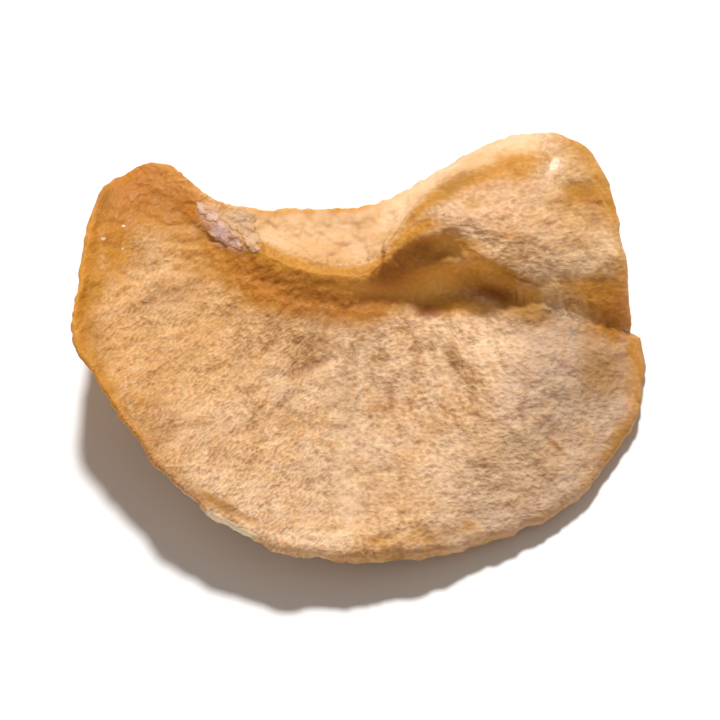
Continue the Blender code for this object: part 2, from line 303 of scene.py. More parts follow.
@dataclass(frozen=True)
class SliceForm:
    """The form of the slice: outline, heights of the cut face and thickness of the flesh, in millimetres.

    A zone gives where something starts and ends, as shares of the way from the left horn to the folded one.
    """

    stations: tuple[Station, ...] = (
        Station(0.00, 161.0, (-22.6, 12.5), (-21.5, 12.9), (-20.6, 13.0), 0.1, 11.4),
        Station(0.10, 182.0, (-20.2, 8.4), (-18.8, 9.8), (-17.9, 10.9), 0.4, 11.5),
        Station(0.20, 203.0, (-17.3, 5.0), (-15.5, 6.9), (-14.9, 8.7), 1.2, 11.6),
        Station(0.30, 224.0, (-13.4, 1.4), (-11.5, 4.0), (-11.4, 7.6), 1.8, 11.8),
        Station(0.40, 245.0, (-8.7, -1.7), (-7.4, 1.8), (-7.4, 7.6), 2.1, 12.0),
        Station(0.50, 266.0, (-3.7, -2.8), (-3.2, 0.8), (-3.4, 7.6), 2.3, 12.1),
        Station(0.58, 281.0, (0.9, -2.6), (0.7, 0.8), (0.4, 7.8), 2.7, 12.3),
        Station(0.66, 296.0, (4.8, -1.0), (3.0, 2.5), (4.0, 9.1), 4.0, 13.0),
        Station(0.74, 309.0, (8.8, 0.6), (8.6, 4.6), (8.9, 11.9), 5.9, 14.0),
        Station(0.82, 321.0, (13.4, -0.1), (13.2, 2.2), (14.6, 14.8), 4.0, 14.2),
        Station(0.88, 331.0, (18.0, -1.5), (17.7, 0.0), (18.8, 15.6), 2.0, 13.3),
        Station(0.94, 341.0, (23.6, -3.7), (23.4, -3.1), (22.8, 14.6), 0.6, 11.4),
        Station(1.00, 348.5, (28.2, -5.4), (28.3, -4.9), (25.8, 11.7), 0.5, 9.2),
    )
    eye_elevation: float = math.radians(55.0)
    eye_distance: float = 297.0
    rim_radius: float = 28.5
    rim_swells: tuple[Triple, ...] = (
        (328.0, 40.0, 3.8), (191.0, 12.0, 1.7), (177.0, 7.0, -0.5), (252.0, 20.0, 0.75), (312.0, 7.0, 0.3),
    )
    slit_turn: Pair = (337.0, 352.0)
    slit_cut: float = 1.7
    horn_turn: Pair = (170.0, 200.0)
    horn_swell: float = 0.7
    rim_waves: tuple[Triple, ...] = ((23.0, 0.0, 0.10), (41.0, 1.0, 0.07))
    horn_round: float = 0.42
    lobe_round: float = 0.15
    far_bow: float = 0.42
    dish_level: float = 5.4
    notch_rise: float = 4.2
    notch_reach: float = 9.0
    notch_left: float = 0.5
    notch_zone: Pair = (-19.0, -5.0)
    left_slope: float = 0.2
    left_from: float = 4.0
    left_soft: float = 3.0
    right_swell: Patch = Patch(17.5, -9.0, 8.0, 11.0, 0.0, 3.0)
    rim_level: float = 4.9
    rim_slope: float = 0.15
    rim_upturn: float = 0.0042
    rim_lowest: float = 2.4
    roll_width: float = 10.0
    roll_soft: float = 0.12
    roll_zone: Pair = (4.0, 16.0)
    width_zone: Pair = (2.0, 18.0)
    edge_width: float = 3.0
    edge_steepness: float = 2.2
    dents: tuple[Patch, ...] = ovals(
        (-6, -8, 2.6, 3.4, 0, -0.45), (3, -12.5, 2.8, 2.4, 0, -0.35), (9, -9, 2.4, 4, 0, -0.28),
        (-14, -4, 3.5, 3, 0, -0.3), (-20, -10, 4, 2.6, 0, -0.25), (12, -20, 3, 3, 0, -0.15),
        (-22, 3, 2.4, 4, 0, -0.25), (-2, -21, 5, 2.2, 0, -0.25),
    )
    creases: tuple[Patch, ...] = ovals(
        (-4.1, -8.4, 2.6, 0.55, 22, -0.2), (3.4, -11.9, 2.2, 0.5, 88, -0.16), (-0.9, -14.4, 2, 0.45, 62, -0.16),
        (-4.8, -18.4, 1, 0.4, 45, -0.12), (-8.6, -14, 2.4, 0.4, 68, -0.14), (-16, -10.4, 1.6, 0.35, 45, -0.1),
        (-13.6, -9.6, 2.2, 0.35, 45, -0.1), (-20.7, -6.9, 2, 0.4, 45, -0.08), (17.4, -12, 3.8, 0.45, 88, -0.14),
        (9.9, -8.5, 3.2, 0.7, 100, -0.12), (6, -17.5, 2.6, 0.4, 82, -0.1),
    )
    fold_depth: float = 0.06
    fold_waves: tuple[Pair, ...] = ((13.0, 0.8), (5.0, 1.1), (21.0, 2.1))
    fold_sway: float = 0.7
    fold_narrow: float = 0.6
    fold_twist: float = 0.06
    fold_zone: Pair = (6.0, 20.0)
    lobe_folds: tuple[Patch, ...] = ovals(
        (10.4, 1.7, 2.9, 1.1, 12, 0.9), (7.8, 4.1, 3.4, 1, 24, -0.45), (10.8, 7, 3.6, 1.5, -8, 0.4),
        (17.8, 4.4, 5, 1.6, -20, 0.4), (17, 8.2, 6.5, 1.1, -14, -0.3), (15.7, 12.4, 1.6, 1.1, 10, -0.35),
        (23, 9.6, 1.8, 1.2, -10, -0.45), (20.4, 12, 1.8, 1.4, 0, 0.3),
    )
    fine_folds: tuple[Patch, ...] = ovals(
        (8.2, 5, 3.4, 1, 14, 0.35), (6.8, -2.2, 3, 1.3, 0, -0.45), (12, -1.6, 3.4, 1.2, 0, -0.2),
        (20.5, 12.2, 0.9, 0.6, 60, 0.15),
    )
    rim_grooves: tuple[RimGroove, ...] = (
        RimGroove((231.0, 252.0), 1.7, 0.55, 0.10, 0.55, 0.8),
        RimGroove((268.0, 300.0), 2.2, 0.9, 0.04, 0.50, 0.30),
    )
    lip_start: float = 0.38
    ridge_soft: float = 1.1
    ridge_soft_reach: float = 2.8
    bench: Patch = Patch(0.715, 0.68, 0.07, 0.25, 0.0, 0.25)
    scoop_depth: float = 0.4
    strip_slope: float = 1.0
    strip_soft: float = 0.3
    crest_start: Pair = (2.3, 2.3)
    crest_rise: float = 10.9
    crest_reach: float = 4.6
    lobe_crown: float = 1.6
    lobe_swell: float = 1.2
    ridge_round: float = 1.15
    lobe_ridge_round: float = 1.6
    rim_thickness: float = 2.3
    belly_thickness: float = 6.2
    core_thickness: float = 9.6
    thickening: float = 6.0
    core_reach: float = 7.0
    horn_thickness: float = 4.5
    horn_tip_thickness: float = 3.0
    lobe_thickness: float = 4.2
    lip_hollow: float = 0.45
    edge_round: float = 1.2
    horn_taper: float = 2.6
    core_edge: float = 0.48
    rim_edge_level: float = 0.5
    horn_edge_level: float = 0.8
    foot_press: float = 0.6
    length: float = 80.0
    end_ribs: tuple[float, ...] = (0.2, 0.6, 1.2, 2.2)
    edge_rows: tuple[float, ...] = (0.0, 0.25, 0.7)
    edge_start: float = 1.4
    short_rib: float = 6.0
    coarse: GridSize = GridSize(64, 16, 5, 11)
    horn_corner: float = 0.05
    lobe_corner: float = 0.045
    corner_anchors: Pair = (0.5, 0.06)
    bow_zone: Pair = (0.84, 1.0)
    rim_soft: float = 0.6
    block_zone: Span = (0.06, 0.42, 0.70, 0.98)
    lobe_zone: Pair = (0.60, 0.74)
    lip_zone: Pair = (0.62, 0.74)
    bend_zone: Pair = (0.74, 0.80)
    strip_end: Pair = (0.82, 0.9)
    scoop_zone: Pair = (0.05, 0.3)
    crown_zone: Pair = (0.93, 0.10)
    crown_skew: float = 0.8
    soft_zone: Span = (0.60, 0.70, 0.86, 0.94)
    horn_zone: Pair = (0.0, 0.2)
    belly_zone: Pair = (0.08, 0.34)
    sheet_zone: Pair = (0.4, 0.6)
    sheet_fade: Pair = (0.0, 0.35)

    def curve(self, share: Array, values: Sequence[float]) -> Array:
        """A smooth curve through one value for each station.

        Args:
            share: shares of the way along the slice.
            values: the stations' values in their order.

        Returns:
            The value at each share.
        """
        x = np.array([station.share for station in self.stations])
        y = np.array(values)
        slope = np.gradient(y, x)
        k = np.clip(np.searchsorted(x, share) - 1, 0, len(x) - 2)
        step = x[k + 1] - x[k]
        t = (share - x[k]) / step
        start = y[k] + step * slope[k] * t * (1.0 - t) ** 2 + (y[k + 1] - y[k]) * t * t * (3.0 - 2.0 * t)
        return start - step * slope[k + 1] * t * t * (1.0 - t)

    def along(self, share: Array, name: str) -> Array:
        """One of the stations' numbers as a smooth curve."""
        return self.curve(share, [getattr(station, name) for station in self.stations])

    def place(self, share: Array, mark: Mark) -> Places:
        """Place of a mark on each rib."""
        marks = [getattr(station, mark.value) for station in self.stations]
        return self.curve(share, [m[0] for m in marks]), self.curve(share, [m[1] for m in marks])

    def rim(self, turn_degrees: Array) -> Places:
        """The rim, a circle with a few swells.

        Args:
            turn_degrees: directions from the centre.

        Returns:
            The rim's places in these directions.
        """
        turn = np.radians(turn_degrees)
        radius = self.rim_radius - self.slit_cut * smooth_step(turn_degrees, *self.slit_turn)
        radius = radius + self.horn_swell * (1.0 - smooth_step(turn_degrees, *self.horn_turn))
        for centre, width, swell in self.rim_swells:
            radius = radius + swell * hump(turn_degrees, centre, width)
        for waves, start, size in self.rim_waves:
            radius = radius + size * np.sin(turn * waves + start)
        return radius * np.cos(turn), radius * np.sin(turn)

    def rim_gap(self, x: Array, up: Array) -> Array:
        """Distance of a place from the rim, along the line to the centre."""
        rim_x, rim_up = self.rim(turn_of(x, up))
        return np.maximum(np.hypot(rim_x, rim_up) - np.hypot(x, up), 0.0)

    def rib_shares(self, count: int) -> Array:
        """Shares of the ribs along the slice.

        Args:
            count: how many steps there are.

        Returns:
            The shares, with extra ones close to both ends for round edges.
        """
        close = np.array(self.end_ribs) / self.length
        middle = np.linspace(close[-1], 1.0 - close[-1], count - 2 * (len(close) - 1) + 1)
        return np.concatenate([[0.0], close[:-1], middle, 1.0 - close[:-1][::-1], [1.0]])[:, None]

    def rows(self, length: Array, count: int) -> Array:
        """Places of the rows along each rib, with the first ones close together for a round edge.

        Args:
            length: the ribs' lengths.
            count: how many rows there are.

        Returns:
            Parts of each rib's length, from 0 to 1.
        """
        shorten = np.minimum(1.0, length / self.short_rib)
        close = np.array(self.edge_rows)[None, :] * shorten
        start = self.edge_start * shorten
        rest = start + (length - start) * np.linspace(0.0, 1.0, count - 1)[None, :]
        return np.concatenate([close, rest], axis=1) / length

    def round_corners(self, share: Array, x: Array, up: Array) -> Places:
        """Draws the end ribs in towards their middles, so that the outline turns without a corner.

        Args:
            share: the ribs' shares.
            x: places to the right.
            up: places upwards.

        Returns:
            The places drawn in.
        """
        left = np.clip(1.0 - share / self.horn_corner, 0.0, 1.0)
        right = np.clip(1.0 - (1.0 - share) / self.lobe_corner, 0.0, 1.0)
        pull = 1.0 - self.horn_round * (1.0 - np.sqrt(1.0 - left**2))
        pull = pull - self.lobe_round * (1.0 - np.sqrt(1.0 - right**2))
        anchor = np.where(share < 0.5, *self.corner_anchors)
        anchor_x = blend(x[:, :1], x[:, -1:], anchor)
        anchor_up = blend(up[:, :1], up[:, -1:], anchor)
        return anchor_x + (x - anchor_x) * pull, anchor_up + (up - anchor_up) * pull

    def board(self, size: GridSize) -> Board:
        """The grid's places on the board.

        Args:
            size: counts of ribs and rows.

        Returns:
            The places, with their parts of the three stretches of a rib.
        """
        share = self.rib_shares(size.ribs)
        rim_x, rim_up = self.rim(self.along(share, "rim_turn"))
        (foot_x, foot_up), (ridge_x, ridge_up), (far_x, far_up) = (self.place(share, mark) for mark in Mark)
        face = self.rows(np.hypot(foot_x - rim_x, foot_up - rim_up), size.face)
        lip = np.linspace(0.0, 1.0, size.lip + 1)[None, 1:] + 0.0 * share
        far = 1.0 - self.rows(np.hypot(far_x - ridge_x, far_up - ridge_up), size.far)[:, -2::-1]
        bow = self.far_bow * smooth_step(share, *self.bow_zone) * 4.0 * far * (1.0 - far)
        x = [blend(rim_x, foot_x, face), blend(foot_x, ridge_x, lip), blend(ridge_x, far_x, far) + bow]
        up = [blend(rim_up, foot_up, face), blend(foot_up, ridge_up, lip), blend(ridge_up, far_up, far)]
        x, up = self.round_corners(share, np.concatenate(x, axis=1), np.concatenate(up, axis=1))
        parts = (
            (face, np.ones_like(lip), np.ones_like(far)),
            (np.zeros_like(face), lip, np.ones_like(far)),
            (np.zeros_like(face), np.zeros_like(lip), far),
        )
        face, lip, far = (np.concatenate(part, axis=1) for part in parts)
        return Board(share + 0.0 * x, face, lip, far, x, up)

    def rim_height(self, x: Array) -> Array:
        """Height of the rim's upper edge over the floor: high at the left, on the floor at the right."""
        rise = self.rim_level - self.rim_slope * x + self.rim_upturn * np.minimum(x, 0.0) ** 2
        return self.rim_lowest + soft_ramp(rise - self.rim_lowest, self.rim_soft)

    def drying_folds(self, x: Array, up: Array) -> Array:
        """Shallow dents, creases and radial folds of the cut face.

        Args:
            x: places to the right.
            up: places upwards.

        Returns:
            Their heights.
        """
        turn, radius = np.arctan2(up, x), np.hypot(x, up)
        broad, sway, narrow = (turn * waves + start for waves, start in self.fold_waves)
        folds = np.sin(broad) * (1.0 + self.fold_sway * np.sin(sway))
        folds = folds + self.fold_narrow * np.sin(narrow + self.fold_twist * radius)
        folds = self.fold_depth * folds * smooth_step(radius, *self.fold_zone)
        return folds + patches(self.dents + self.creases, x, up)

    def face_height(self, x: Array, up: Array, foot_gap: Array) -> Array:
        """Height of the cut face: a dish that rises to the lip and falls or rolls off at the rim.

        Args:
            x: places to the right.
            up: places upwards.
            foot_gap: distances to the foot of the lip.

        Returns:
            The heights.
        """
        gap = self.rim_gap(x, up)
        rise = self.notch_rise * blend(self.notch_left, 1.0, smooth_step(x, *self.notch_zone))
        dish = self.dish_level + rise * np.exp(-foot_gap / self.notch_reach)
        dish = dish + self.left_slope * soft_ramp(-x - self.left_from, self.left_soft)
        dish = dish + self.right_swell.on(x, up)
        width = blend(self.edge_width, self.roll_width, smooth_step(x, *self.width_zone))
        edge = np.exp(-self.edge_steepness * gap / width)
        roll = soft_ramp(1.0 - gap / width, self.roll_soft)
        fall = blend(edge, roll, smooth_step(x, *self.roll_zone))
        turn = turn_of(x, up)
        grooves = sum(groove.depth * groove.on(turn, gap) for groove in self.rim_grooves)
        return blend(dish, self.rim_height(x), fall) + self.drying_folds(x, up) - grooves

    def crest_up(self, x: Array) -> Array:
        """Where the lobe's crest runs on the board, right of the lip."""
        run = np.maximum(x - self.crest_start[0], 0.0) / self.crest_reach
        return self.crest_start[1] + self.crest_rise * (1.0 - np.exp(-run))

    def core_block(self, share: Array) -> Array:
        """1 where the flesh round the core stands on the floor, falling to 0 towards both horns."""
        return span(share, *self.block_zone)

    @staticmethod
    def at_foot(board: Board, values: Array) -> Array:
        """Each rib's value at the foot of its lip."""
        return np.take_along_axis(values, np.argmax(board.face >= 1.0, axis=1)[:, None], axis=1)

    def upper_surface(self, board: Board, base: Array) -> tuple[Array, Array, Array]:
        """Heights of the front.

        Args:
            board: the grid's places.
            base: heights of the cut face.

        Returns:
            Heights of the whole front, of the far part alone, and of the lip's ridge.
        """
        share, far = board.share, board.far
        ridge = self.along(share, "lip_rise")
        soft_lip = smooth_step(board.lip, 0.0, self.ridge_round) / smooth_step(1.0, 0.0, self.ridge_round)
        soft_lip = blend(soft_lip, board.lip, self.lip_start)
        bend = blend(self.lobe_ridge_round, 1.0, smooth_step(share, *self.bend_zone))
        round_lip = 1.0 - (1.0 - board.lip) ** bend - self.bench.on(share, board.lip)
        rise = ridge * blend(soft_lip, round_lip, smooth_step(share, *self.lip_zone))
        top = self.at_foot(board, base) + ridge
        lobe = smooth_step(share, *self.lobe_zone)
        crown = self.lobe_crown * hump(share, *self.crown_zone) * np.sin(np.pi * far**self.crown_skew)
        crown = crown + self.lobe_swell * lobe * np.sin(np.pi * far)
        scoop = self.scoop_depth * smooth_step(share, *self.scoop_zone) * (1.0 - lobe) * 4.0 * far * (1.0 - far)
        strip = self.strip_slope * soft_ramp(board.up - self.crest_up(board.x), self.strip_soft)
        strip = strip * lobe * (1.0 - smooth_step(share, *self.strip_end))
        upper = blend(top, self.along(share, "far_height"), far) + crown - scoop - strip * (far > 0.0)
        front = self.soft_ridge(board, np.where(far > 0.0, upper, base + rise))
        return front + patches(self.lobe_folds + self.fine_folds, board.x, board.up), upper, top

    def soft_ridge(self, board: Board, front: Array) -> Array:
        """Rounds the front across the lobe's ridge, by a running mean along each rib.

        Args:
            board: the grid's places.
            front: heights of the front.

        Returns:
            The rounded heights.
        """
        step = np.hypot(np.diff(board.x, axis=1), np.diff(board.up, axis=1))
        way = np.concatenate([np.zeros((len(step), 1)), np.cumsum(step, axis=1)], axis=1)
        spacing = np.gradient(way, axis=1)
        ridge = np.take_along_axis(way, np.argmax(board.lip >= 1.0, axis=1)[:, None], axis=1)
        near = span(board.share, *self.soft_zone) * hump(way, ridge, self.ridge_soft_reach)
        soft = front.copy()
        for rib in np.flatnonzero(near.max(axis=1) > 0.0):
            weight = hump(way[rib][:, None], way[rib][None, :], self.ridge_soft) * spacing[rib]
            soft[rib] = weight @ front[rib] / weight.sum(axis=1)
        return blend(front, soft, near)

    def lower_surface(self, board: Board, base: Array, upper: Array, top: Array, foot_gap: Array) -> Array:
        """Heights of the underside: a belly under the face, a block round the core and thin horns.

        Args:
            board: the grid's places.
            base: heights of the cut face.
            upper: heights of the far part.
            top: heights of the lip's ridge.
            foot_gap: distances to the foot of the lip.

        Returns:
            The heights.
        """
        share, far = board.share, board.far
        block = self.core_block(share)
        horn = blend(self.horn_tip_thickness, self.horn_thickness, smooth_step(share, *self.horn_zone))
        belly = blend(horn, self.belly_thickness, smooth_step(share, *self.belly_zone))
        gap = self.rim_gap(*self.near_face(board))
        thick = blend(self.rim_thickness, belly, 1.0 - np.exp(-gap / self.thickening))
        core = (self.core_thickness - self.belly_thickness) * block * np.exp(-foot_gap / self.core_reach)
        below_face = base - thick - core
        foot_below = self.at_foot(board, below_face)
        sheet = blend(horn, self.lobe_thickness, smooth_step(share, *self.sheet_zone))
        hollow = self.lip_hollow * (1.0 - block) * (top - sheet - foot_below)
        sheet = blend(foot_below + hollow, upper - sheet, smooth_step(far, *self.sheet_fade))
        far_back = blend(sheet, blend(foot_below, upper, far), block)
        back = np.where(board.lip > 0.0, foot_below + hollow * board.lip, below_face)
        return np.maximum(np.where(far > 0.0, far_back, back) - self.foot_press, 0.0)

    def near_face(self, board: Board) -> Places:
        """Each place on the cut face itself, and the foot of the lip for the places beyond it."""
        foot_x, foot_up = self.place(board.share, Mark.FOOT)
        return np.where(board.on_face, board.x, foot_x), np.where(board.on_face, board.up, foot_up)

    def heights(self, board: Board) -> Places:
        """Heights at every place of the grid.

        Args:
            board: the grid's places.

        Returns:
            Heights of the front and of the underside.
        """
        foot_gap = board.away(*self.place(board.share, Mark.FOOT)) * board.on_face
        base = self.face_height(*self.near_face(board), foot_gap)
        front, upper, top = self.upper_surface(board, base)
        return front, self.lower_surface(board, base, upper, top, foot_gap)

    def edge_share(self, board: Board, horn_width: float) -> Array:
        """The profile of a rounded edge.

        Args:
            board: the grid's places.
            horn_width: how far the rounding reaches in at the horns.

        Returns:
            0 on the outline, 1 inside it.
        """
        from_start = board.away(board.x[:1], board.up[:1])
        from_end = board.away(board.x[-1:], board.up[-1:])
        far_width = blend(horn_width, self.core_edge, self.core_block(board.share))
        near = np.minimum(np.minimum(board.from_rim / self.edge_round, board.from_far / far_width), 1.0)
        near = np.minimum(near, np.minimum(from_start / horn_width, from_end / self.edge_round))
        return np.sqrt(1.0 - (1.0 - near) ** 2)

    def edge_level(self, board: Board) -> Array:
        """Part of the thickness at which the outline runs: half-way at the rim, higher along the horns."""
        back = board.from_rim / (board.from_rim + board.from_far) * (1.0 - self.core_block(board.share))
        return blend(self.rim_edge_level, self.horn_edge_level, back)

    def to_world(self, x: Array, up: Array, height: Array) -> Array:
        """Turns places on the board into points, along the eye's rays.

        Args:
            x: places to the right.
            up: places upwards.
            height: heights over the floor.

        Returns:
            The points in the board's own frame, in millimetres.
        """
        sine, cosine = math.sin(self.eye_elevation), math.cos(self.eye_elevation)
        depth = (height - up * cosine) / (sine - up * cosine / self.eye_distance)
        nearer = 1.0 - depth / self.eye_distance
        return np.stack([x * nearer, up * nearer * sine - depth * cosine, height], axis=-1)

    def surfaces(self, size: GridSize) -> tuple[Board, Array, Array]:
        """The whole skin.

        Args:
            size: counts of ribs and rows.

        Returns:
            The board's grid with the points of the front and of the underside.
        """
        board = self.board(size)
        front, back = self.heights(board)
        middle = blend(back, front, self.edge_level(board))
        upper = blend(middle, front, self.edge_share(board, self.edge_round))
        lower = blend(middle, back, self.edge_share(board, self.horn_taper))
        return board, self.to_world(board.x, board.up, upper), self.to_world(board.x, board.up, lower)

    def zero_point(self) -> Array:
        """The model's zero point, at the middle of the solid's foot.

        Returns:
            Its place from the centre of the rim, in millimetres.
        """
        _, upper, lower = self.surfaces(self.coarse)
        points = np.concatenate([upper.reshape(-1, 3), lower.reshape(-1, 3)])
        low, high = points.min(axis=0), points.max(axis=0)
        return np.array([0.5 * (low[0] + high[0]), 0.5 * (low[1] + high[1]), low[2]])


@dataclass(frozen=True)
class Tints:
    """Where the flesh has its other tones. Each method gives one mask over the board."""

    form: SliceForm
    band_turns: tuple[float, ...] = (150.0, 185.0, 200.0, 212.0, 225.0, 250.0, 300.0, 318.0, 332.0, 360.0)
    band_widths: tuple[float, ...] = (4.0, 3.4, 2.7, 1.6, 1.1, 1.1, 1.2, 1.5, 2.2, 2.7)
    band_strengths: tuple[float, ...] = (1.0, 0.95, 0.88, 0.62, 0.35, 0.4, 0.5, 0.5, 0.75, 0.95)
    amber_patches: tuple[Patch, ...] = ovals(
        (-24, 10.2, 7.5, 4.6, 50, 1.05), (-19, 4.6, 4.5, 2, -45, 0.38), (12, 10.9, 4.5, 1, 22, 0.8),
        (17, 12.4, 2.6, 1.3, 5, 0.7), (23.8, 9.5, 2.3, 1.2, -4, 1.2), (26.8, -3.4, 3.2, 3, 0, 1.3),
        (25, -0.9, 2.2, 1.5, 0, 0.8), (15.2, 10, 5, 2, 12, 0.42), (-17.7, 8.3, 2.6, 1.8, -45, 0.95),
        (-25.2, 3, 1.6, 2.6, 0, 0.75), (21, 8.4, 2.4, 2, 0, 0.4), (22, 0, 3, 1.2, 0, 0.4),
        (-20, -0.6, 3, 3, 0, 0.22), (17, -1.9, 2.6, 2, -10, 1), (8.5, -2.2, 5.2, 1.3, -5, 0.95),
        (10.4, 4.6, 2.8, 0.9, -25, 0.7), (-20.5, 3.5, 6.5, 5.5, 0, 0.15), (6.4, 5.4, 2.4, 1.1, 35, 0.75),
        (4.4, 4.8, 2.4, 1.3, 50, 0.75), (10, 1.6, 3.8, 1.8, 25, 0.55), (-23, -12, 2.6, 1.4, -60, 0.6),
        (-14, 0.5, 5, 1.6, -42, 0.6),
    )
    bare_patches: tuple[Patch, ...] = ovals(
        (-13, 6.2, 2.6, 1.4, -42, 0.75), (10.7, 2.2, 1.8, 0.9, -5, 0.35), (-21.8, 4.2, 2.6, 1.6, 0, 0.25),
        (-6.3, -4.3, 3, 1.3, 0, 0.4), (-24, -9.5, 2, 4.5, 30, 0.25), (26.6, 3.2, 1.4, 2.8, 0, 0.45),
        (21.6, 10.6, 2.2, 1.4, 0, 0.4),
    )
    deep_patches: tuple[Patch, ...] = ovals(
        (27.2, -3, 3, 3.4, 0, 0.8), (-16.5, 4, 7, 1.6, -45, 0.35), (-23.5, 9.6, 6, 4.4, 50, 0.85),
        (-17.8, 8, 2.6, 2, -45, 0.7), (-12, 0.6, 2.4, 1.3, -40, 0.6),
    )
    # Partly stains, partly painted shade in the pit and hollow under the lobe's overhang.
    brown_patches: tuple[Patch, ...] = ovals(
        (-6, -8, 2.4, 3.2, 0, 0.4), (3, -12.5, 2.4, 2, 0, 0.32), (9, -9, 2, 3.6, 0, 0.12),
        (9.6, -14.5, 1.8, 3, -10, 0.28), (-14.5, -4, 3, 1.2, 40, 0.22), (-10.5, -11, 3.2, 0.8, 48, 0.26),
        (20.5, -17, 2.6, 0.4, -45, 0.6), (17, -14.5, 0.4, 2.6, 12, 0.4), (6.6, 3.6, 3.2, 0.9, 24, 0.5),
        (3.2, 1.2, 2.4, 1.8, 30, 0.5), (2.5, 3.2, 1.3, 0.25, 84, 0.6), (24.6, 8.3, 2.6, 0.35, -6, 0.7),
        (-13.7, -2.2, 1.6, 5, 0, 0.2), (-4.6, -3.6, 2.4, 2.6, 0, 0.12), (15.7, 12.2, 1, 0.8, 0, 0.4),
        (7.2, -3.1, 1.8, 0.8, 0, 0.95), (-13.4, 4.3, 0.18, 0.8, 25, 0.9), (-12.3, 3.3, 1.1, 0.55, -35, 0.5),
        (-14.7, 6.5, 1, 0.16, 8, 0.7), (-10, 3.4, 0.5, 0.35, -40, 0.6), (15.5, -1.9, 1.6, 0.8, -10, 0.4),
        (26.9, -8.8, 2, 4, -10, 0.3), (14.5, 10.2, 4.5, 1.2, 12, 0.28), (20.8, 8.4, 2.2, 1.6, 0, 0.22),
        (13.6, -1.1, 2.3, 1.2, -5, 0.65), (17.4, 0.1, 3, 0.2, -22, 0.7), (16.4, -1.3, 0.13, 1, 4, 0.6),
        (17.2, -1.5, 0.12, 1.1, 2, 0.6), (18, -1.9, 0.12, 0.9, -3, 0.5),
    )
    # Partly paler flesh, partly painted highlight and painted light; the strongest small ones are painted
    # glints.
    lighter_and_highlight_patches: tuple[Patch, ...] = ovals(
        (20.3, 12.2, 1.3, 0.8, 60, 1.06), (4, -7.5, 7, 2.2, 10, 0.35), (12.8, -6.6, 4.2, 1.8, -12, 0.8),
        (2.4, -21, 4.6, 3, 0, 0.48), (-20.2, -1, 2.6, 4.6, 0, 0.35), (14.6, -18.4, 5, 3, 20, 0.7),
        (21.8, 11.6, 2, 2.6, 0, 0.3), (12.5, -12.2, 2.8, 3, 0, 0.35), (26.2, 4.4, 1.8, 3.2, 0, 0.65),
        (21.9, 1.4, 2.4, 1.6, 0, 0.7), (4.2, 8, 2.6, 1.2, 50, 0.6), (13.2, -10.5, 1.6, 3, 0, 0.25),
        (-3, -26.8, 3.8, 1.6, 0, 0.8), (3.4, -25.4, 4.6, 1.6, 4, 0.62), (-12.6, -25.4, 3.6, 0.8, -26, 0.5),
        (-26.8, 10.4, 0.3, 0.24, 0, 1.6), (-26.6, 4.5, 0.34, 0.24, 0, 1.6), (-24.5, 5.9, 0.3, 0.26, 0, 1.6),
        (-24.6, 3.5, 0.26, 0.24, 0, 1.5), (10, 12.8, 4.4, 1.1, 30, 0.6), (-4, 4.6, 3, 0.9, 0, 0.25),
        (12.5, 5.6, 2.4, 1, 0, 0.4), (24.2, 12.2, 1.8, 1.4, 0, 0.35), (22.6, -7.2, 1.6, 0.7, -10, 0.25),
        (24.6, 1, 2.2, 3.6, 0, 0.35), (14.5, 6.6, 4, 0.6, -22, 0.4), (18, 14.3, 3, 0.9, 0, 0.4),
        (18.5, 5, 3.6, 2.2, -30, 0.2), (18, -19.5, 3.4, 2, 20, 0.4),
    )
    dull_patches: tuple[Patch, ...] = ovals(
        (5, -22, 7, 4, 0, 0.5), (3, -15, 5, 3, 0, 0.25),
    )
    rosy_patches: tuple[Patch, ...] = ovals(
        (-13.5, 6, 3, 1.6, -42, 0.8), (13, 7.6, 6, 3, -15, 0.9), (19, 4.5, 5, 2.6, -25, 0.9),
        (20.5, -6, 4, 2.4, -20, 0.7),
    )
    olive_patches: tuple[Patch, ...] = ovals(
        (18, -3.4, 2.8, 1.5, -15, 1.1), (9.4, 9.6, 2.6, 0.9, 45, 0.55), (-3.2, 7.2, 3, 1.1, 0, 0.35),
        (1.2, 6.6, 1.6, 2, 0, 0.22), (-9.4, 6.6, 1.6, 1.4, 0, 0.22), (24, 9.5, 2.2, 1.3, -4, 0.75),
        (12.6, 11.2, 4, 1, 22, 0.45), (9.9, -8.2, 0.9, 3, 10, 0.4), (7.6, -25.6, 3.4, 0.9, 6, 0.4),
        (-14.4, -23.2, 3.4, 0.6, -28, 0.7), (-3, -22.6, 1.6, 1.2, 0, 0.3), (-18.6, -20.6, 5, 1.5, -40, 0.5),
        (-27.4, -7, 1.4, 5, 12, 0.5), (-26.4, 9, 1.6, 3, -15, 0.55), (-19.6, 8, 1.6, 1.2, -45, 0.4),
        (-6.4, -9, 1.6, 3.4, -20, 0.3), (25.4, -9.2, 3.4, 4.2, -10, 0.85), (8.6, 2.6, 2.2, 0.7, 20, 0.45),
    )
    lilac_patches: tuple[Patch, ...] = ovals(
        (-16, 7.4, 1.7, 1, -40, 0.6), (-14.3, 5.2, 2, 1.4, -50, 0.95), (-12.6, 3.8, 1.3, 0.8, -40, 0.55),
    )
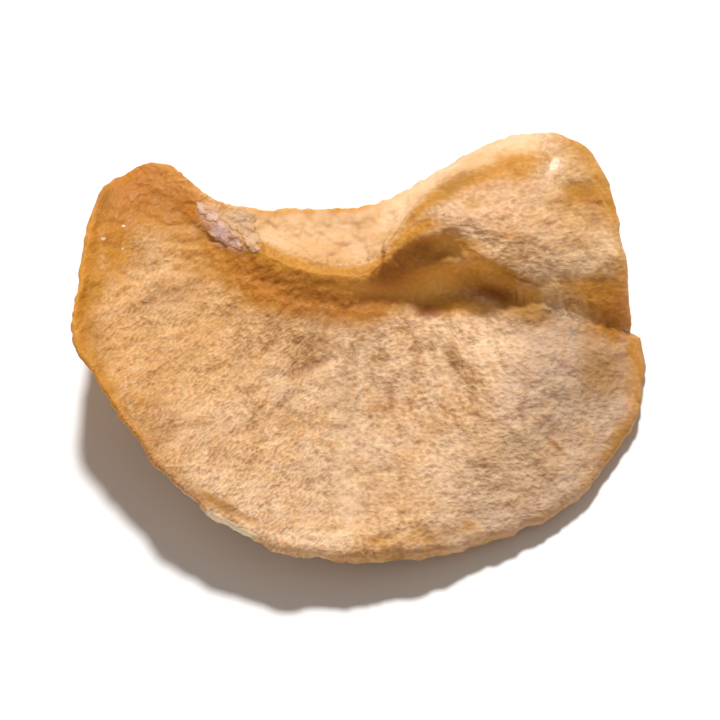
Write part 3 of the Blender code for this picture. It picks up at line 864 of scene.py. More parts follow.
    # Painted light: emission in the shaded hollow under the lobe and the lip's junctions, standing in for light
    # through the thin flesh.
    painted_light_patches: tuple[Patch, ...] = ovals(
        (8, -0.1, 3.4, 1.5, 12, 1), (11.3, -2.9, 2.6, 0.8, 0, 1), (18, -1.8, 1.8, 1.4, 0, 0.5),
        (9.6, 4.1, 2, 0.8, -10, 0.4), (12.6, 2, 2.4, 1.2, -10, 0.5), (3.6, -1.2, 2.4, 0.7, 0, 0.4),
        (-0.6, -0.7, 2.4, 0.9, 0, 0.9), (-7.8, 0.7, 2.2, 0.8, -20, 0.35),
    )
    shade_places: tuple[Pair, ...] = (
        (1.5, -1.2), (5.3, -3.0), (8.3, -3.7), (11.7, -2.6), (14.7, -2.7), (17.6, -2.8), (20.0, -2.4),
        (22.8, -4.2),
    )
    band_soft: Pair = (0.1, 1.5)
    ridge_band: Pair = (1.9, 1.9)
    ridge_zone: Span = (0.12, 0.28, 0.84, 0.92)
    border_strength: float = 0.9
    border_drop: float = 1.2
    border_width: float = 1.25
    border_span: Span = (2.0, 3.4, 9.0, 16.0)
    wall_edge: Pair = (0.7, 0.7)
    wall_zone: Span = (0.2, 0.3, 0.58, 0.66)
    lobe_edge: Pair = (0.3, 1.4)
    lobe_edge_zone: Pair = (0.86, 0.94)
    beyond_fade: Pair = (1.5, 0.5)
    beyond_zone: Pair = (0.62, 0.72)
    deep_band: Pair = (1.3, 1.4)
    deep_zone: Span = (0.2, 0.36, 0.66, 0.74)
    deep_lip: Pair = (0.55, 1.0)
    deep_strength: float = 0.75
    hollow_span: Span = (1.0, 4.5, 14.0, 21.0)
    hollow_soft: Pair = (-0.5, 1.0)
    hollow_lip: Pair = (0.0, 0.4)
    hollow_shade_strength: float = 0.12
    edge_band: Pair = (0.9, 0.9)
    edge_zone: Span = (0.745, 0.80, 0.83, 0.88)
    edge_far: Pair = (0.0, 0.05)
    wall_shade_strength: float = 0.15
    crease_darkening: float = -2.2
    pale_far: Pair = (0.12, 0.4)
    pale_zone: Pair = (0.24, 0.34)
    strip_soft: Pair = (-0.4, 0.3)
    strip_start: Pair = (0.60, 0.66)
    strip_end: Pair = (0.84, 0.92)
    dull_tilt: float = 0.3
    dull_level: float = 8.0
    dull_zone: Pair = (9.0, 21.0)
    warm_way: Pair = (-0.5, 0.6)
    warm_zone: Pair = (-5.0, 6.0)
    warm_right: Pair = (18.0, 23.5)

    def values(self, mask: Mask, board: Board) -> Array:
        """One mask over the board.

        Args:
            mask: which one.
            board: the grid's places.

        Returns:
            Its values, from 0 to 1.
        """
        spots = {
            Mask.ROSY: self.rosy_patches,
            Mask.OLIVE: self.olive_patches,
            Mask.LILAC: self.lilac_patches,
            Mask.GLOW: self.painted_light_patches,
        }
        if mask in spots:
            return np.clip(patches(spots[mask], board.x, board.up), 0.0, 1.0)
        return getattr(self, mask.label)(board)

    def amber(self, board: Board) -> Array:
        """Thin, see-through amber flesh.

        Args:
            board: the grid's places.

        Returns:
            1 on rims, on the lip, on the horns' tips and on blotches of the lobe.
        """
        x, up, share, turn = board.x, board.up, board.share, board.turn
        gap = self.form.rim_gap(x, up)
        band = 1.0 - smooth_step(gap / np.interp(turn, self.band_turns, self.band_widths), *self.band_soft)
        band = band * np.interp(turn, self.band_turns, self.band_strengths)
        ridge = self.below_lip(board, *self.ridge_band) * span(share, *self.ridge_zone)
        border = hump(up, self.form.crest_up(x) - self.border_drop, self.border_width) * (share > 0.6)
        border = self.border_strength * border * span(x, *self.border_span)
        strength, width = self.wall_edge
        wall_edge = strength * hump(board.from_far, 0.0, width) * span(share, *self.wall_zone)
        wall_edge = wall_edge * (board.far > 0.0)
        strength, width = self.lobe_edge
        lobe_edge = strength * np.exp(-board.from_far / width) * smooth_step(share, *self.lobe_edge_zone)
        grooves = [groove.stain * groove.on(turn, gap) for groove in self.form.rim_grooves]
        spots = patches(self.amber_patches, x, up)
        total = np.maximum.reduce([band, ridge, border, lobe_edge, wall_edge, *grooves, spots])
        return np.clip(total - patches(self.bare_patches, x, up), 0.0, 1.0)

    def below_lip(self, board: Board, reach: float, soft: float) -> Array:
        """The lip and the flesh below its foot.

        Args:
            board: the grid's places.
            reach: how far the band goes below the foot.
            soft: half the width of its soft end.

        Returns:
            1 on the band.
        """
        from_foot = board.away(*self.form.place(board.share, Mark.FOOT)) * board.on_face
        beyond = board.away(*self.form.place(board.share, Mark.RIDGE)) * (board.far > 0.0)
        fade = blend(*self.beyond_fade, smooth_step(board.share, *self.beyond_zone))
        band = 1.0 - smooth_step(from_foot, reach - soft, reach + soft)
        return band * (1.0 - smooth_step(beyond, 0.3 * fade, fade))

    def deep(self, board: Board) -> Array:
        """Where the amber is darkest.

        Args:
            board: the grid's places.

        Returns:
            1 under the lip's ridge and at the lobe's right end.
        """
        band = self.below_lip(board, *self.deep_band) * (1.0 - smooth_step(board.lip, *self.deep_lip))
        band = self.deep_strength * band * span(board.share, *self.deep_zone)
        return np.clip(np.maximum(band, patches(self.deep_patches, board.x, board.up)), 0.0, 1.0)

    def brown(self, board: Board) -> Array:
        """Dark stains and painted shade.

        Args:
            board: the grid's places.

        Returns:
            1 in creases and on soft dark stains, and as painted shade in the hollow under the lobe and on the
            lip's wall.
        """
        x, up = board.x, board.up
        # Painted shade: the hollow under the lobe's overhang, down to the line of shade_places.
        line = np.interp(x, *zip(*self.shade_places))
        low, high = self.hollow_soft
        hollow = smooth_step(up, line + low, line + high) * span(x, *self.hollow_span)
        hollow = self.hollow_shade_strength * hollow * (1.0 - smooth_step(board.lip, *self.hollow_lip))
        hollow = hollow * (board.share > 0.5)
        # Painted shade on the lip's wall below the lobe's ridge.
        edge = self.below_lip(board, *self.edge_band) * (1.0 - smooth_step(board.far, *self.edge_far))
        edge = self.wall_shade_strength * edge * span(board.share, *self.edge_zone)
        stains = np.maximum.reduce([hollow, edge, patches(self.brown_patches, x, up)])
        creases = self.crease_darkening * patches(self.form.creases, x, up) * board.on_face
        return np.clip(stains + creases, 0.0, 1.0)

    def pale(self, board: Board) -> Array:
        """Flesh that stays pale.

        Args:
            board: the grid's places.

        Returns:
            1 on the scooped wall and on the strip along the lobe's crest.
        """
        wall = smooth_step(board.far, *self.pale_far) * smooth_step(board.share, *self.pale_zone)
        strip = smooth_step(board.up - self.form.crest_up(board.x), *self.strip_soft)
        strip = strip * (1.0 - smooth_step(board.share, *self.strip_end))
        return wall * blend(np.ones_like(wall), strip, smooth_step(board.share, *self.strip_start))

    def grey(self, board: Board) -> Array:
        """The dull roll at the right of the cut face."""
        roll = smooth_step(board.x - self.dull_tilt * (board.up + self.dull_level), *self.dull_zone)
        return np.maximum(roll, patches(self.dull_patches, board.x, board.up)) * board.on_face

    def warm(self, board: Board) -> Array:
        """Warmer flesh.

        Args:
            board: the grid's places.

        Returns:
            1 on the upper left of the cut face and on the lobe's right part.
        """
        across, upwards = self.warm_way
        left = smooth_step(across * board.x + upwards * board.up, *self.warm_zone) * (board.share < 0.66)
        return np.maximum(left, smooth_step(board.x, *self.warm_right) * (board.lip > 0.0))

    def bright(self, board: Board) -> Array:
        """Lighter flesh and painted light: partly a paler tone, partly painted highlights, painted glints and
        painted light where the form turns into shade.

        Args:
            board: the grid's places.

        Returns:
            1 on light places of the cut face and the lobe, and on the lips outside the rim's grooves, which are
            partly painted highlight.
        """
        gap = self.form.rim_gap(board.x, board.up)
        lips = sum(groove.lip * groove.outside(board.turn, gap) for groove in self.form.rim_grooves)
        return np.clip(patches(self.lighter_and_highlight_patches, board.x, board.up) + lips, 0.0, 1.0)


class Wire:
    """A number that runs between nodes, with arithmetic that adds Math nodes."""

    def __init__(self, net: NodeNet, socket: bpy.types.NodeSocket) -> None:
        """Wraps an output socket of the net's tree."""
        self.net = net
        self.socket = socket

    def math(self, operation: str, *others: Number) -> Wire:
        """A Math node on this number and others."""
        return self.net.add("ShaderNodeMath", {"operation": operation}, dict(enumerate((self, *others))))

    def __add__(self, other: Number) -> Wire:
        """Sum."""
        return self.math("ADD", other)

    __radd__ = __add__

    def __sub__(self, other: Number) -> Wire:
        """Difference."""
        return self.math("SUBTRACT", other)

    def __rsub__(self, other: float) -> Wire:
        """A number less this one."""
        return self.net.add("ShaderNodeMath", {"operation": "SUBTRACT"}, {0: other, 1: self})

    def __mul__(self, other: Number) -> Wire:
        """Product."""
        return self.math("MULTIPLY", other)

    __rmul__ = __mul__

    def __pow__(self, other: Number) -> Wire:
        """Power."""
        return self.math("POWER", other)

    def clamp(self) -> Wire:
        """Kept from 0 to 1."""
        return self.net.add("ShaderNodeClamp", {}, {0: self})

    def smooth(self, low: float, high: float) -> Wire:
        """A smooth rise.

        Args:
            low: where it is 0; may be over high.
            high: where it is 1.

        Returns:
            The risen number.
        """
        ends = {"Value": self, "From Min": low, "From Max": high, "To Min": 0.0, "To Max": 1.0}
        if low > high:
            ends.update({"From Min": high, "From Max": low, "To Min": 1.0, "To Max": 0.0})
        return self.net.add("ShaderNodeMapRange", {"interpolation_type": "SMOOTHSTEP"}, ends)


class NodeNet:
    """Builds a shader or geometry tree, one call for each node."""

    def __init__(self, tree: bpy.types.NodeTree) -> None:
        """Starts with an empty tree."""
        tree.nodes.clear()
        self.tree = tree

    def add(
        self,
        kind: str,
        settings: dict[str, object] | None = None,
        inputs: dict[int | str, object] | None = None,
        output: int | str = 0,
    ) -> Wire:
        """Adds a node.

        Args:
            kind: the node's type.
            settings: its own settings, set first.
            inputs: values or wires of its sockets, by number or name.
            output: the output wanted, by number or name.

        Returns:
            That output as a wire, whose node is reached through its socket.
        """
        node = self.tree.nodes.new(kind)
        for name, value in (settings or {}).items():
            setattr(node, name, value)
        for key, value in (inputs or {}).items():
            if isinstance(value, Wire):
                self.tree.links.new(value.socket, node.inputs[key])
            else:
                node.inputs[key].default_value = value
        return Wire(self, node.outputs[output]) if len(node.outputs) else Wire(self, None)

    def given(self, name: str, kind: str = "Fac") -> Wire:
        """One of the piece's own attributes."""
        return self.add("ShaderNodeAttribute", {"attribute_name": name}, {}, kind)

    def object_place(self) -> Wire:
        """Object coordinates in millimetres."""
        return self.vector("SCALE", self.add("ShaderNodeTexCoord", output="Object"), scale=1.0 / MM)

    def bump(self, height: Wire, depth: float) -> Wire:
        """The normal of a surface with that relief, whose depth is in metres."""
        return self.add("ShaderNodeBump", {}, {"Strength": 1.0, "Distance": depth, "Height": height})

    def finish(self, inputs: dict[int | str, object]) -> None:
        """The shader with its inputs, and the material's output."""
        shader = self.add("ShaderNodeBsdfPrincipled", {}, inputs)
        self.add("ShaderNodeOutputMaterial", {}, {"Surface": shader})

    def vector(self, operation: str, first: object, second: object = None, scale: Number | None = None) -> Wire:
        """A Vector Math node.

        Args:
            operation: what it does.
            first: a vector.
            second: another, where it needs one.
            scale: a number, where it needs one.

        Returns:
            The result.
        """
        given = {0: first, 1: second, "Scale": scale}
        inputs = {key: value for key, value in given.items() if value is not None}
        return self.add("ShaderNodeVectorMath", {"operation": operation}, inputs)

    def join(self, x: Number, y: Number, z: Number = 0.0) -> Wire:
        """A vector from its three numbers."""
        return self.add("ShaderNodeCombineXYZ", {}, {0: x, 1: y, 2: z})

    def split(self, vector: Wire) -> tuple[Wire, Wire, Wire]:
        """Takes a vector apart.

        Args:
            vector: the vector.

        Returns:
            Its three numbers.
        """
        first = self.add("ShaderNodeSeparateXYZ", {}, {0: vector})
        outputs = first.socket.node.outputs
        return first, Wire(self, outputs[1]), Wire(self, outputs[2])

    def noise(
        self, place: Wire, size: float, detail: float = 2.0, rough: float = 0.5, twist: float = 0.0
    ) -> Wire:
        """Cloudy noise.

        Args:
            place: where it is read.
            size: about how large a spot is.
            detail: finer layers.
            rough: strength of the finer layers.
            twist: how far the spots are bent.

        Returns:
            The noise, from 0 to 1.
        """
        inputs = {"Vector": place, "Scale": 1.0 / size, "Detail": detail, "Roughness": rough}
        inputs["Distortion"] = twist
        return self.add("ShaderNodeTexNoise", {"noise_dimensions": "3D"}, inputs)

    def sway(self, place: Wire, size: float, reach: float) -> Wire:
        """A wandering vector that bends a pattern.

        Args:
            place: where it is read.
            size: about how far apart the bends are.
            reach: how far it wanders.

        Returns:
            The vector.
        """
        inputs = {"Vector": place, "Scale": 1.0 / size, "Detail": 1.0}
        noise = self.add("ShaderNodeTexNoise", {"noise_dimensions": "3D"}, inputs, "Color")
        return self.vector("SCALE", self.vector("SUBTRACT", noise, (0.5, 0.5, 0.5)), scale=2.0 * reach)

    def polar(self, place: Wire, centre: Pair) -> tuple[Wire, Wire]:
        """A place as seen from a centre.

        Args:
            place: the place.
            centre: the centre.

        Returns:
            Turn in radians and distance.
        """
        x, up, _ = self.split(place)
        x, up = x - centre[0], up - centre[1]
        turn = self.add("ShaderNodeMath", {"operation": "ARCTAN2"}, {0: up, 1: x})
        return turn, (x * x + up * up).math("SQRT")

    def mix(self, part: Number, first: object, second: object, way: str = "MIX") -> Wire:
        """A mix of two colours."""
        inputs = {0: part, 6: first, 7: second}
        return self.add("ShaderNodeMix", {"data_type": "RGBA", "blend_type": way}, inputs, 2)


@dataclass
class Patterns:
    """The wires that the flesh's colour, gloss and bump share. Each pattern runs from 0 to 1."""

    net: NodeNet
    masks: dict[str, Wire]
    cloud: Wire
    broad: Wire
    patchy: Wire
    grain: Wire
    skin: Wire
    pores: Wire
    wrinkles: Wire
    streaks: Wire
    rows: Wire

    @property
    def blotch(self) -> Wire:
        """A wander about 0 that makes the edges of a mask uneven."""
        return (self.cloud - 0.5) * 0.8 + (self.skin - 0.5) * 0.5


@dataclass(frozen=True)
class FleshFinish:
    """Dry apple flesh: tones, sizes of its patterns in millimetres, and gloss."""

    cream: Colour = tone(217, 179, 139)
    peach: Colour = tone(212, 160, 98)
    rose: Colour = tone(212, 165, 122)
    tan: Colour = tone(206, 156, 97)
    # Tone of the radial stains; also multiplied into the skin's valleys as painted shade.
    stain: Colour = tone(162, 110, 54)
    amber: Colour = tone(202, 137, 40)
    gold: Colour = tone(190, 130, 31)
    deep: Colour = tone(184, 110, 22)
    # Tone of the dark stains and of the painted shade under the lobe.
    brown: Colour = tone(138, 74, 15)
    pale: Colour = tone(229, 186, 140)
    dull: Colour = tone(200, 168, 141)
    # Tone of lighter flesh and of painted highlights.
    light_and_highlight_tone: Colour = tone(242, 208, 168)
    # Painted highlight: the tone of the small painted glints.
    painted_glint: Colour = tone(255, 240, 212)
    olive: Colour = tone(158, 110, 44)
    lilac: Colour = tone(214, 160, 142)
    # Tone of the painted light given off in the shaded hollow under the lobe.
    glow: Colour = tone(120, 86, 38)
    grain_size: float = 0.34
    skin_size: float = 0.62
    pore_size: float = 0.46
    pore_slant: float = 0.8
    pore_stretch: float = 0.8
    pore_zone: Pair = (-8.0, 4.0)
    net_pitch: float = 0.9
    thread_pitch: float = 3.5
    wrinkle_turns: float = 17.0
    wrinkle_length: float = 3.6
    streak_turns: float = 4.5
    streak_length: float = 9.0
    ray_sway: Pair = (4.0, 0.6)
    ray_start: Pair = (5.0, 13.0)
    net_sway: Pair = (2.6, 0.3)
    net_zone: Pair = (5.0, 20.0)
    net_least: float = 0.15
    core_centre: Pair = (-1.0, 6.0)
    roughness: float = 0.58
    amber_roughness: float = 0.62
    specular: float = 0.22
    amber_coat: float = 0.02
    bump_depth: float = 0.00024
    scatter: float = 0.40
    scatter_radius: Triple = (1.0, 0.45, 0.14)
    scatter_scale: float = 0.0018
    pale_strength: float = 0.9
    amber_strength: float = 0.92
    valley_shade_strength: float = 0.8
    broad_strength: float = 0.65
    cloud_strength: float = 0.55
    streak_strength: float = 0.58
    stain_and_shade_strength: float = 0.85
    olive_strength: float = 0.8
    painted_glint_strength: float = 0.6
    rosy_strength: float = 0.8
    dull_strength: float = 0.85
    dull_clear: float = 0.6
    peach_strength: float = 0.6
    fleck_strength: float = 0.12
    calm_parts: tuple[tuple[str, float], ...] = (("grey", 0.5), ("rosy", 0.3), ("warm", 0.3))
    valley_shade_parts: Triple = (0.7, 0.65, 0.3)
    top_highlight_parts: Pair = (0.3, 0.38)
    height_parts: Span = (0.70, 0.30, 0.80, 0.18)
    height_zero: float = 0.04
    cloud_size: float = 2.4
    broad_size: float = 6.5
    patch_size: float = 3.6
    index: float = 1.45
    coat_roughness: float = 0.25

    def patterns(self, net: NodeNet) -> Patterns:
        """Makes the shared patterns.

        Args:
            net: the material's tree.

        Returns:
            Their wires.
        """
        place, weave = net.object_place(), net.given("weave", "Vector")
        swayed = net.vector("ADD", place, net.sway(place, 1.2, 0.5))
        return Patterns(
            net=net,
            masks={mask.label: net.given(mask.label) for mask in Mask},
            cloud=net.noise(place, self.cloud_size, 3.0, 0.6),
            broad=net.noise(place, self.broad_size, 2.0, 0.5),
            patchy=net.noise(place, self.patch_size, 2.0, 0.5).smooth(0.32, 0.66),
            grain=net.noise(place, self.grain_size, 2.0, 0.6),
            skin=net.noise(swayed, self.skin_size, 2.0, 0.5),
            pores=self.pores(net, weave),
            wrinkles=self.rays(net, weave, self.wrinkle_turns, self.wrinkle_length),
            streaks=self.rays(net, weave, self.streak_turns, self.streak_length),
            rows=self.net_rows(net, weave),
        )

    def material(self) -> bpy.types.Material:
        """Builds the flesh's node tree.

        Returns:
            The material, which reads the skin's own attributes.
        """
        material = bpy.data.materials.new("dry_flesh")
        material.use_nodes = True
        material.cycles.emission_sampling = "NONE"
        net = NodeNet(material.node_tree)
        given = self.patterns(net)
        masks, skin, grain = given.masks, given.skin, given.grain
        amber = (masks["amber"] + given.blotch).smooth(0.05, 0.98)
        pale = (masks["pale"] + (given.cloud - 0.5) * 0.4).smooth(0.3, 0.7)
        plain = (1.0 - amber * 0.45) * (1.0 - pale * 0.75)
        fine, dots, folds, rows = self.height_parts
        height = skin * fine + grain * dots + given.wrinkles * folds - given.rows * rows - self.height_zero
        colour = net.mix(pale * self.pale_strength, self.flesh_colour(given), self.wall_colour(given))
        colour = net.mix(amber * self.amber_strength, colour, self.amber_colour(given))
        colour = self.stains_shade_and_glints(given, self.painted_wrinkle_shading(given, colour, height, plain, amber))
        rough = self.roughness - amber * (self.roughness - self.amber_roughness) + (grain - 0.5) * 0.2
        bump_height = (height + given.pores * 0.6) * plain + given.cloud * 0.5
        inputs = {
            "Base Color": colour,
            "Roughness": (rough - amber * skin.smooth(0.68, 0.78) * 0.2).clamp(),
            "IOR": self.index,
            "Specular IOR Level": self.specular,
            "Subsurface Weight": self.scatter,
            "Subsurface Radius": self.scatter_radius,
            "Subsurface Scale": self.scatter_scale,
            # The emission paints light into the shaded hollow under the lobe.
            "Emission Color": net.mix(masks["glow"], BLACK, self.glow),
            "Emission Strength": 1.0,
            "Coat Weight": amber * self.amber_coat,
            "Coat Roughness": self.coat_roughness,
            "Normal": net.bump(bump_height, self.bump_depth),
        }
        net.finish(inputs)
        return material

    def flesh_colour(self, given: Patterns) -> Wire:
        """The plain flesh.

        Args:
            given: the shared patterns.

        Returns:
            Cream, with peach at the upper left and a dull tan at the right.
        """
        net, masks = given.net, given.masks
        colour = net.mix(masks["warm"], self.cream, self.peach)
        colour = net.mix(masks["rosy"] * self.rosy_strength, colour, self.rose)
        colour = net.mix(masks["grey"] * self.dull_strength, colour, self.dull)
        # Lighter flesh and painted highlight.
        colour = net.mix(masks["bright"], colour, self.light_and_highlight_tone)
        clear = 1.0 - masks["grey"] * self.dull_clear
        colour = net.mix(given.broad.smooth(0.45, 0.66) * self.broad_strength * clear, colour, self.tan)
        colour = net.mix(given.cloud.smooth(0.50, 0.70) * self.cloud_strength * clear, colour, self.tan)
        return net.mix(given.streaks.smooth(0.50, 0.66) * self.streak_strength * clear, colour, self.stain)

    def wall_colour(self, given: Patterns) -> Wire:
        """The scooped wall and the crest's strip.

        Args:
            given: the shared patterns.

        Returns:
            Pale flesh with peach and tan clouds.
        """
        colour = given.net.mix(given.broad.smooth(0.42, 0.62) * self.peach_strength, self.pale, self.peach)
        colour = given.net.mix(given.cloud.smooth(0.48, 0.72) * self.cloud_strength, colour, self.tan)
        # Lighter flesh and painted highlight.
        return given.net.mix(given.masks["bright"], colour, self.light_and_highlight_tone)

    def amber_colour(self, given: Patterns) -> Wire:
        """The thin amber flesh.

        Args:
            given: the shared patterns.

        Returns:
            Amber and gold, darkest where it is deep.
        """
        colour = given.net.mix(given.cloud.smooth(0.35, 0.65), self.amber, self.gold)
        colour = given.net.mix(given.masks["deep"], colour, self.deep)
        return given.net.mix(given.skin.smooth(0.5, 0.8) * self.fleck_strength, colour, self.peach)

    def painted_wrinkle_shading(self, given: Patterns, colour: Wire, height: Wire, plain: Wire, amber: Wire) -> Wire:
        """Paints shade into the valleys of the skin and highlights onto its tops.

        Args:
            given: the shared patterns.
            colour: the flesh's colour.
            height: the skin's fine relief.
            plain: 1 on flesh that is neither amber nor pale.
            amber: 1 on amber flesh.

        Returns:
            The changed colour.
        """
        net, pores = given.net, given.pores
        calm = plain * (0.6 + given.patchy * 0.5)
        for name, part in self.calm_parts:
            calm = calm * (1.0 - given.masks[name] * part)
        skin_part, pore_part, row_part = self.valley_shade_parts
        # Painted shade in the valleys of the fine relief, the pores and the net's dents, with the stain tone
        # multiplied in.
        low = height.smooth(0.84, 0.54) * skin_part + pores.smooth(0.54, 0.36) * pore_part
        low = low + given.rows * row_part
        low = low.clamp() * calm * self.valley_shade_strength
        colour = net.mix(low, colour, net.mix(0.55, colour, self.stain, "MULTIPLY"))
        skin_part, pore_part = self.top_highlight_parts
        # Painted highlight on the tops of the fine relief and the pores.
        high = height.smooth(0.80, 1.08) * skin_part + pores.smooth(0.50, 0.70) * pore_part
        return net.mix(high * calm * (1.0 - amber * 0.6), colour, self.light_and_highlight_tone)

    def stains_shade_and_glints(self, given: Patterns, colour: Wire) -> Wire:
        """Adds the yellow-brown, pinkish and dark stains, the painted shade under the lobe and the small
        painted glints.

        Args:
            given: the shared patterns.
            colour: the flesh's colour.

        Returns:
            The changed colour.
        """
        net, masks = given.net, given.masks
        olive = (masks["olive"] + given.blotch * 0.5).smooth(0.05, 1.0)
        lilac = (masks["lilac"] + (given.skin - 0.5) * 0.8 + (given.cloud - 0.5) * 0.4).smooth(0.2, 0.9)
        brown = (masks["brown"] + given.blotch * 0.6).smooth(0.12, 0.95)
        colour = net.mix(olive * self.olive_strength, colour, self.olive)
        colour = net.mix(lilac * self.stain_and_shade_strength, colour, self.lilac)
        colour = net.mix(brown * self.stain_and_shade_strength, colour, self.brown)
        return net.mix(masks["bright"].smooth(0.9, 1.0) * self.painted_glint_strength, colour, self.painted_glint)

    def pores(self, net: NodeNet, weave: Wire) -> Wire:
        """Fine grain: short strokes that slant at the left and lie level at the right.

        Args:
            net: the material's tree.
            weave: the skin's places on the board.

        Returns:
            The grain, from 0 to 1.
        """
        x, up, height = net.split(weave)
        slant, level = self.pore_slant, self.pore_stretch
        along, aside = (x + up * slant) * level, (up - x * slant) * (1.0 / level)
        left = net.noise(net.join(along, aside, height), self.pore_size, 1.0, 0.4)
        right = net.noise(net.join(x * level, up * (1.0 / level), height), self.pore_size, 1.0, 0.4)
        part = x.smooth(*self.pore_zone)
        return left * (1.0 - part) + right * part

    def rays(self, net: NodeNet, weave: Wire, turns: float, length: float) -> Wire:
        """Soft noise, stretched along lines that run out from the core.

        Args:
            net: the material's tree.
            weave: the skin's places on the board.
            turns: spots for each radian round the core.
            length: length of a spot.

        Returns:
            The noise, from 0 to 1.
        """
        swayed = net.vector("ADD", weave, net.sway(weave, *self.ray_sway))
        turn, radius = net.polar(swayed, self.core_centre)
        lines = net.noise(net.join(turn * turns, radius * (1.0 / length)), 1.0, 2.0, 0.55, 0.5)
        return 0.5 + (lines - 0.5) * radius.smooth(*self.ray_start)

    def net_rows(self, net: NodeNet, weave: Wire) -> Wire:
        """Broken rows of small dents left by the drying net, strongest at the lower right.

        Args:
            net: the material's tree.
            weave: the skin's places on the board.

        Returns:
            1 in the dents.
        """
        x, up, _ = net.split(net.vector("ADD", weave, net.sway(weave, *self.net_sway)))
        rows = (up * (2.0 * math.pi / self.net_pitch)).math("SINE").smooth(-1.0, 1.0)
        threads = (x * (2.0 * math.pi / self.thread_pitch)).math("SINE").smooth(0.2, 1.0)
        stitches = (x * (2.0 * math.pi / self.net_pitch) + up * 1.7).math("SINE").smooth(-1.0, 0.8)
        broken = net.noise(net.join(x * 0.8, up * 0.8), 1.0, 2.0, 0.6).smooth(0.36, 0.66)
        where = (x * 0.6 - up).smooth(*self.net_zone) * (1.0 - self.net_least) + self.net_least
        return ((rows * stitches + threads * 0.3) * broken * where).clamp()


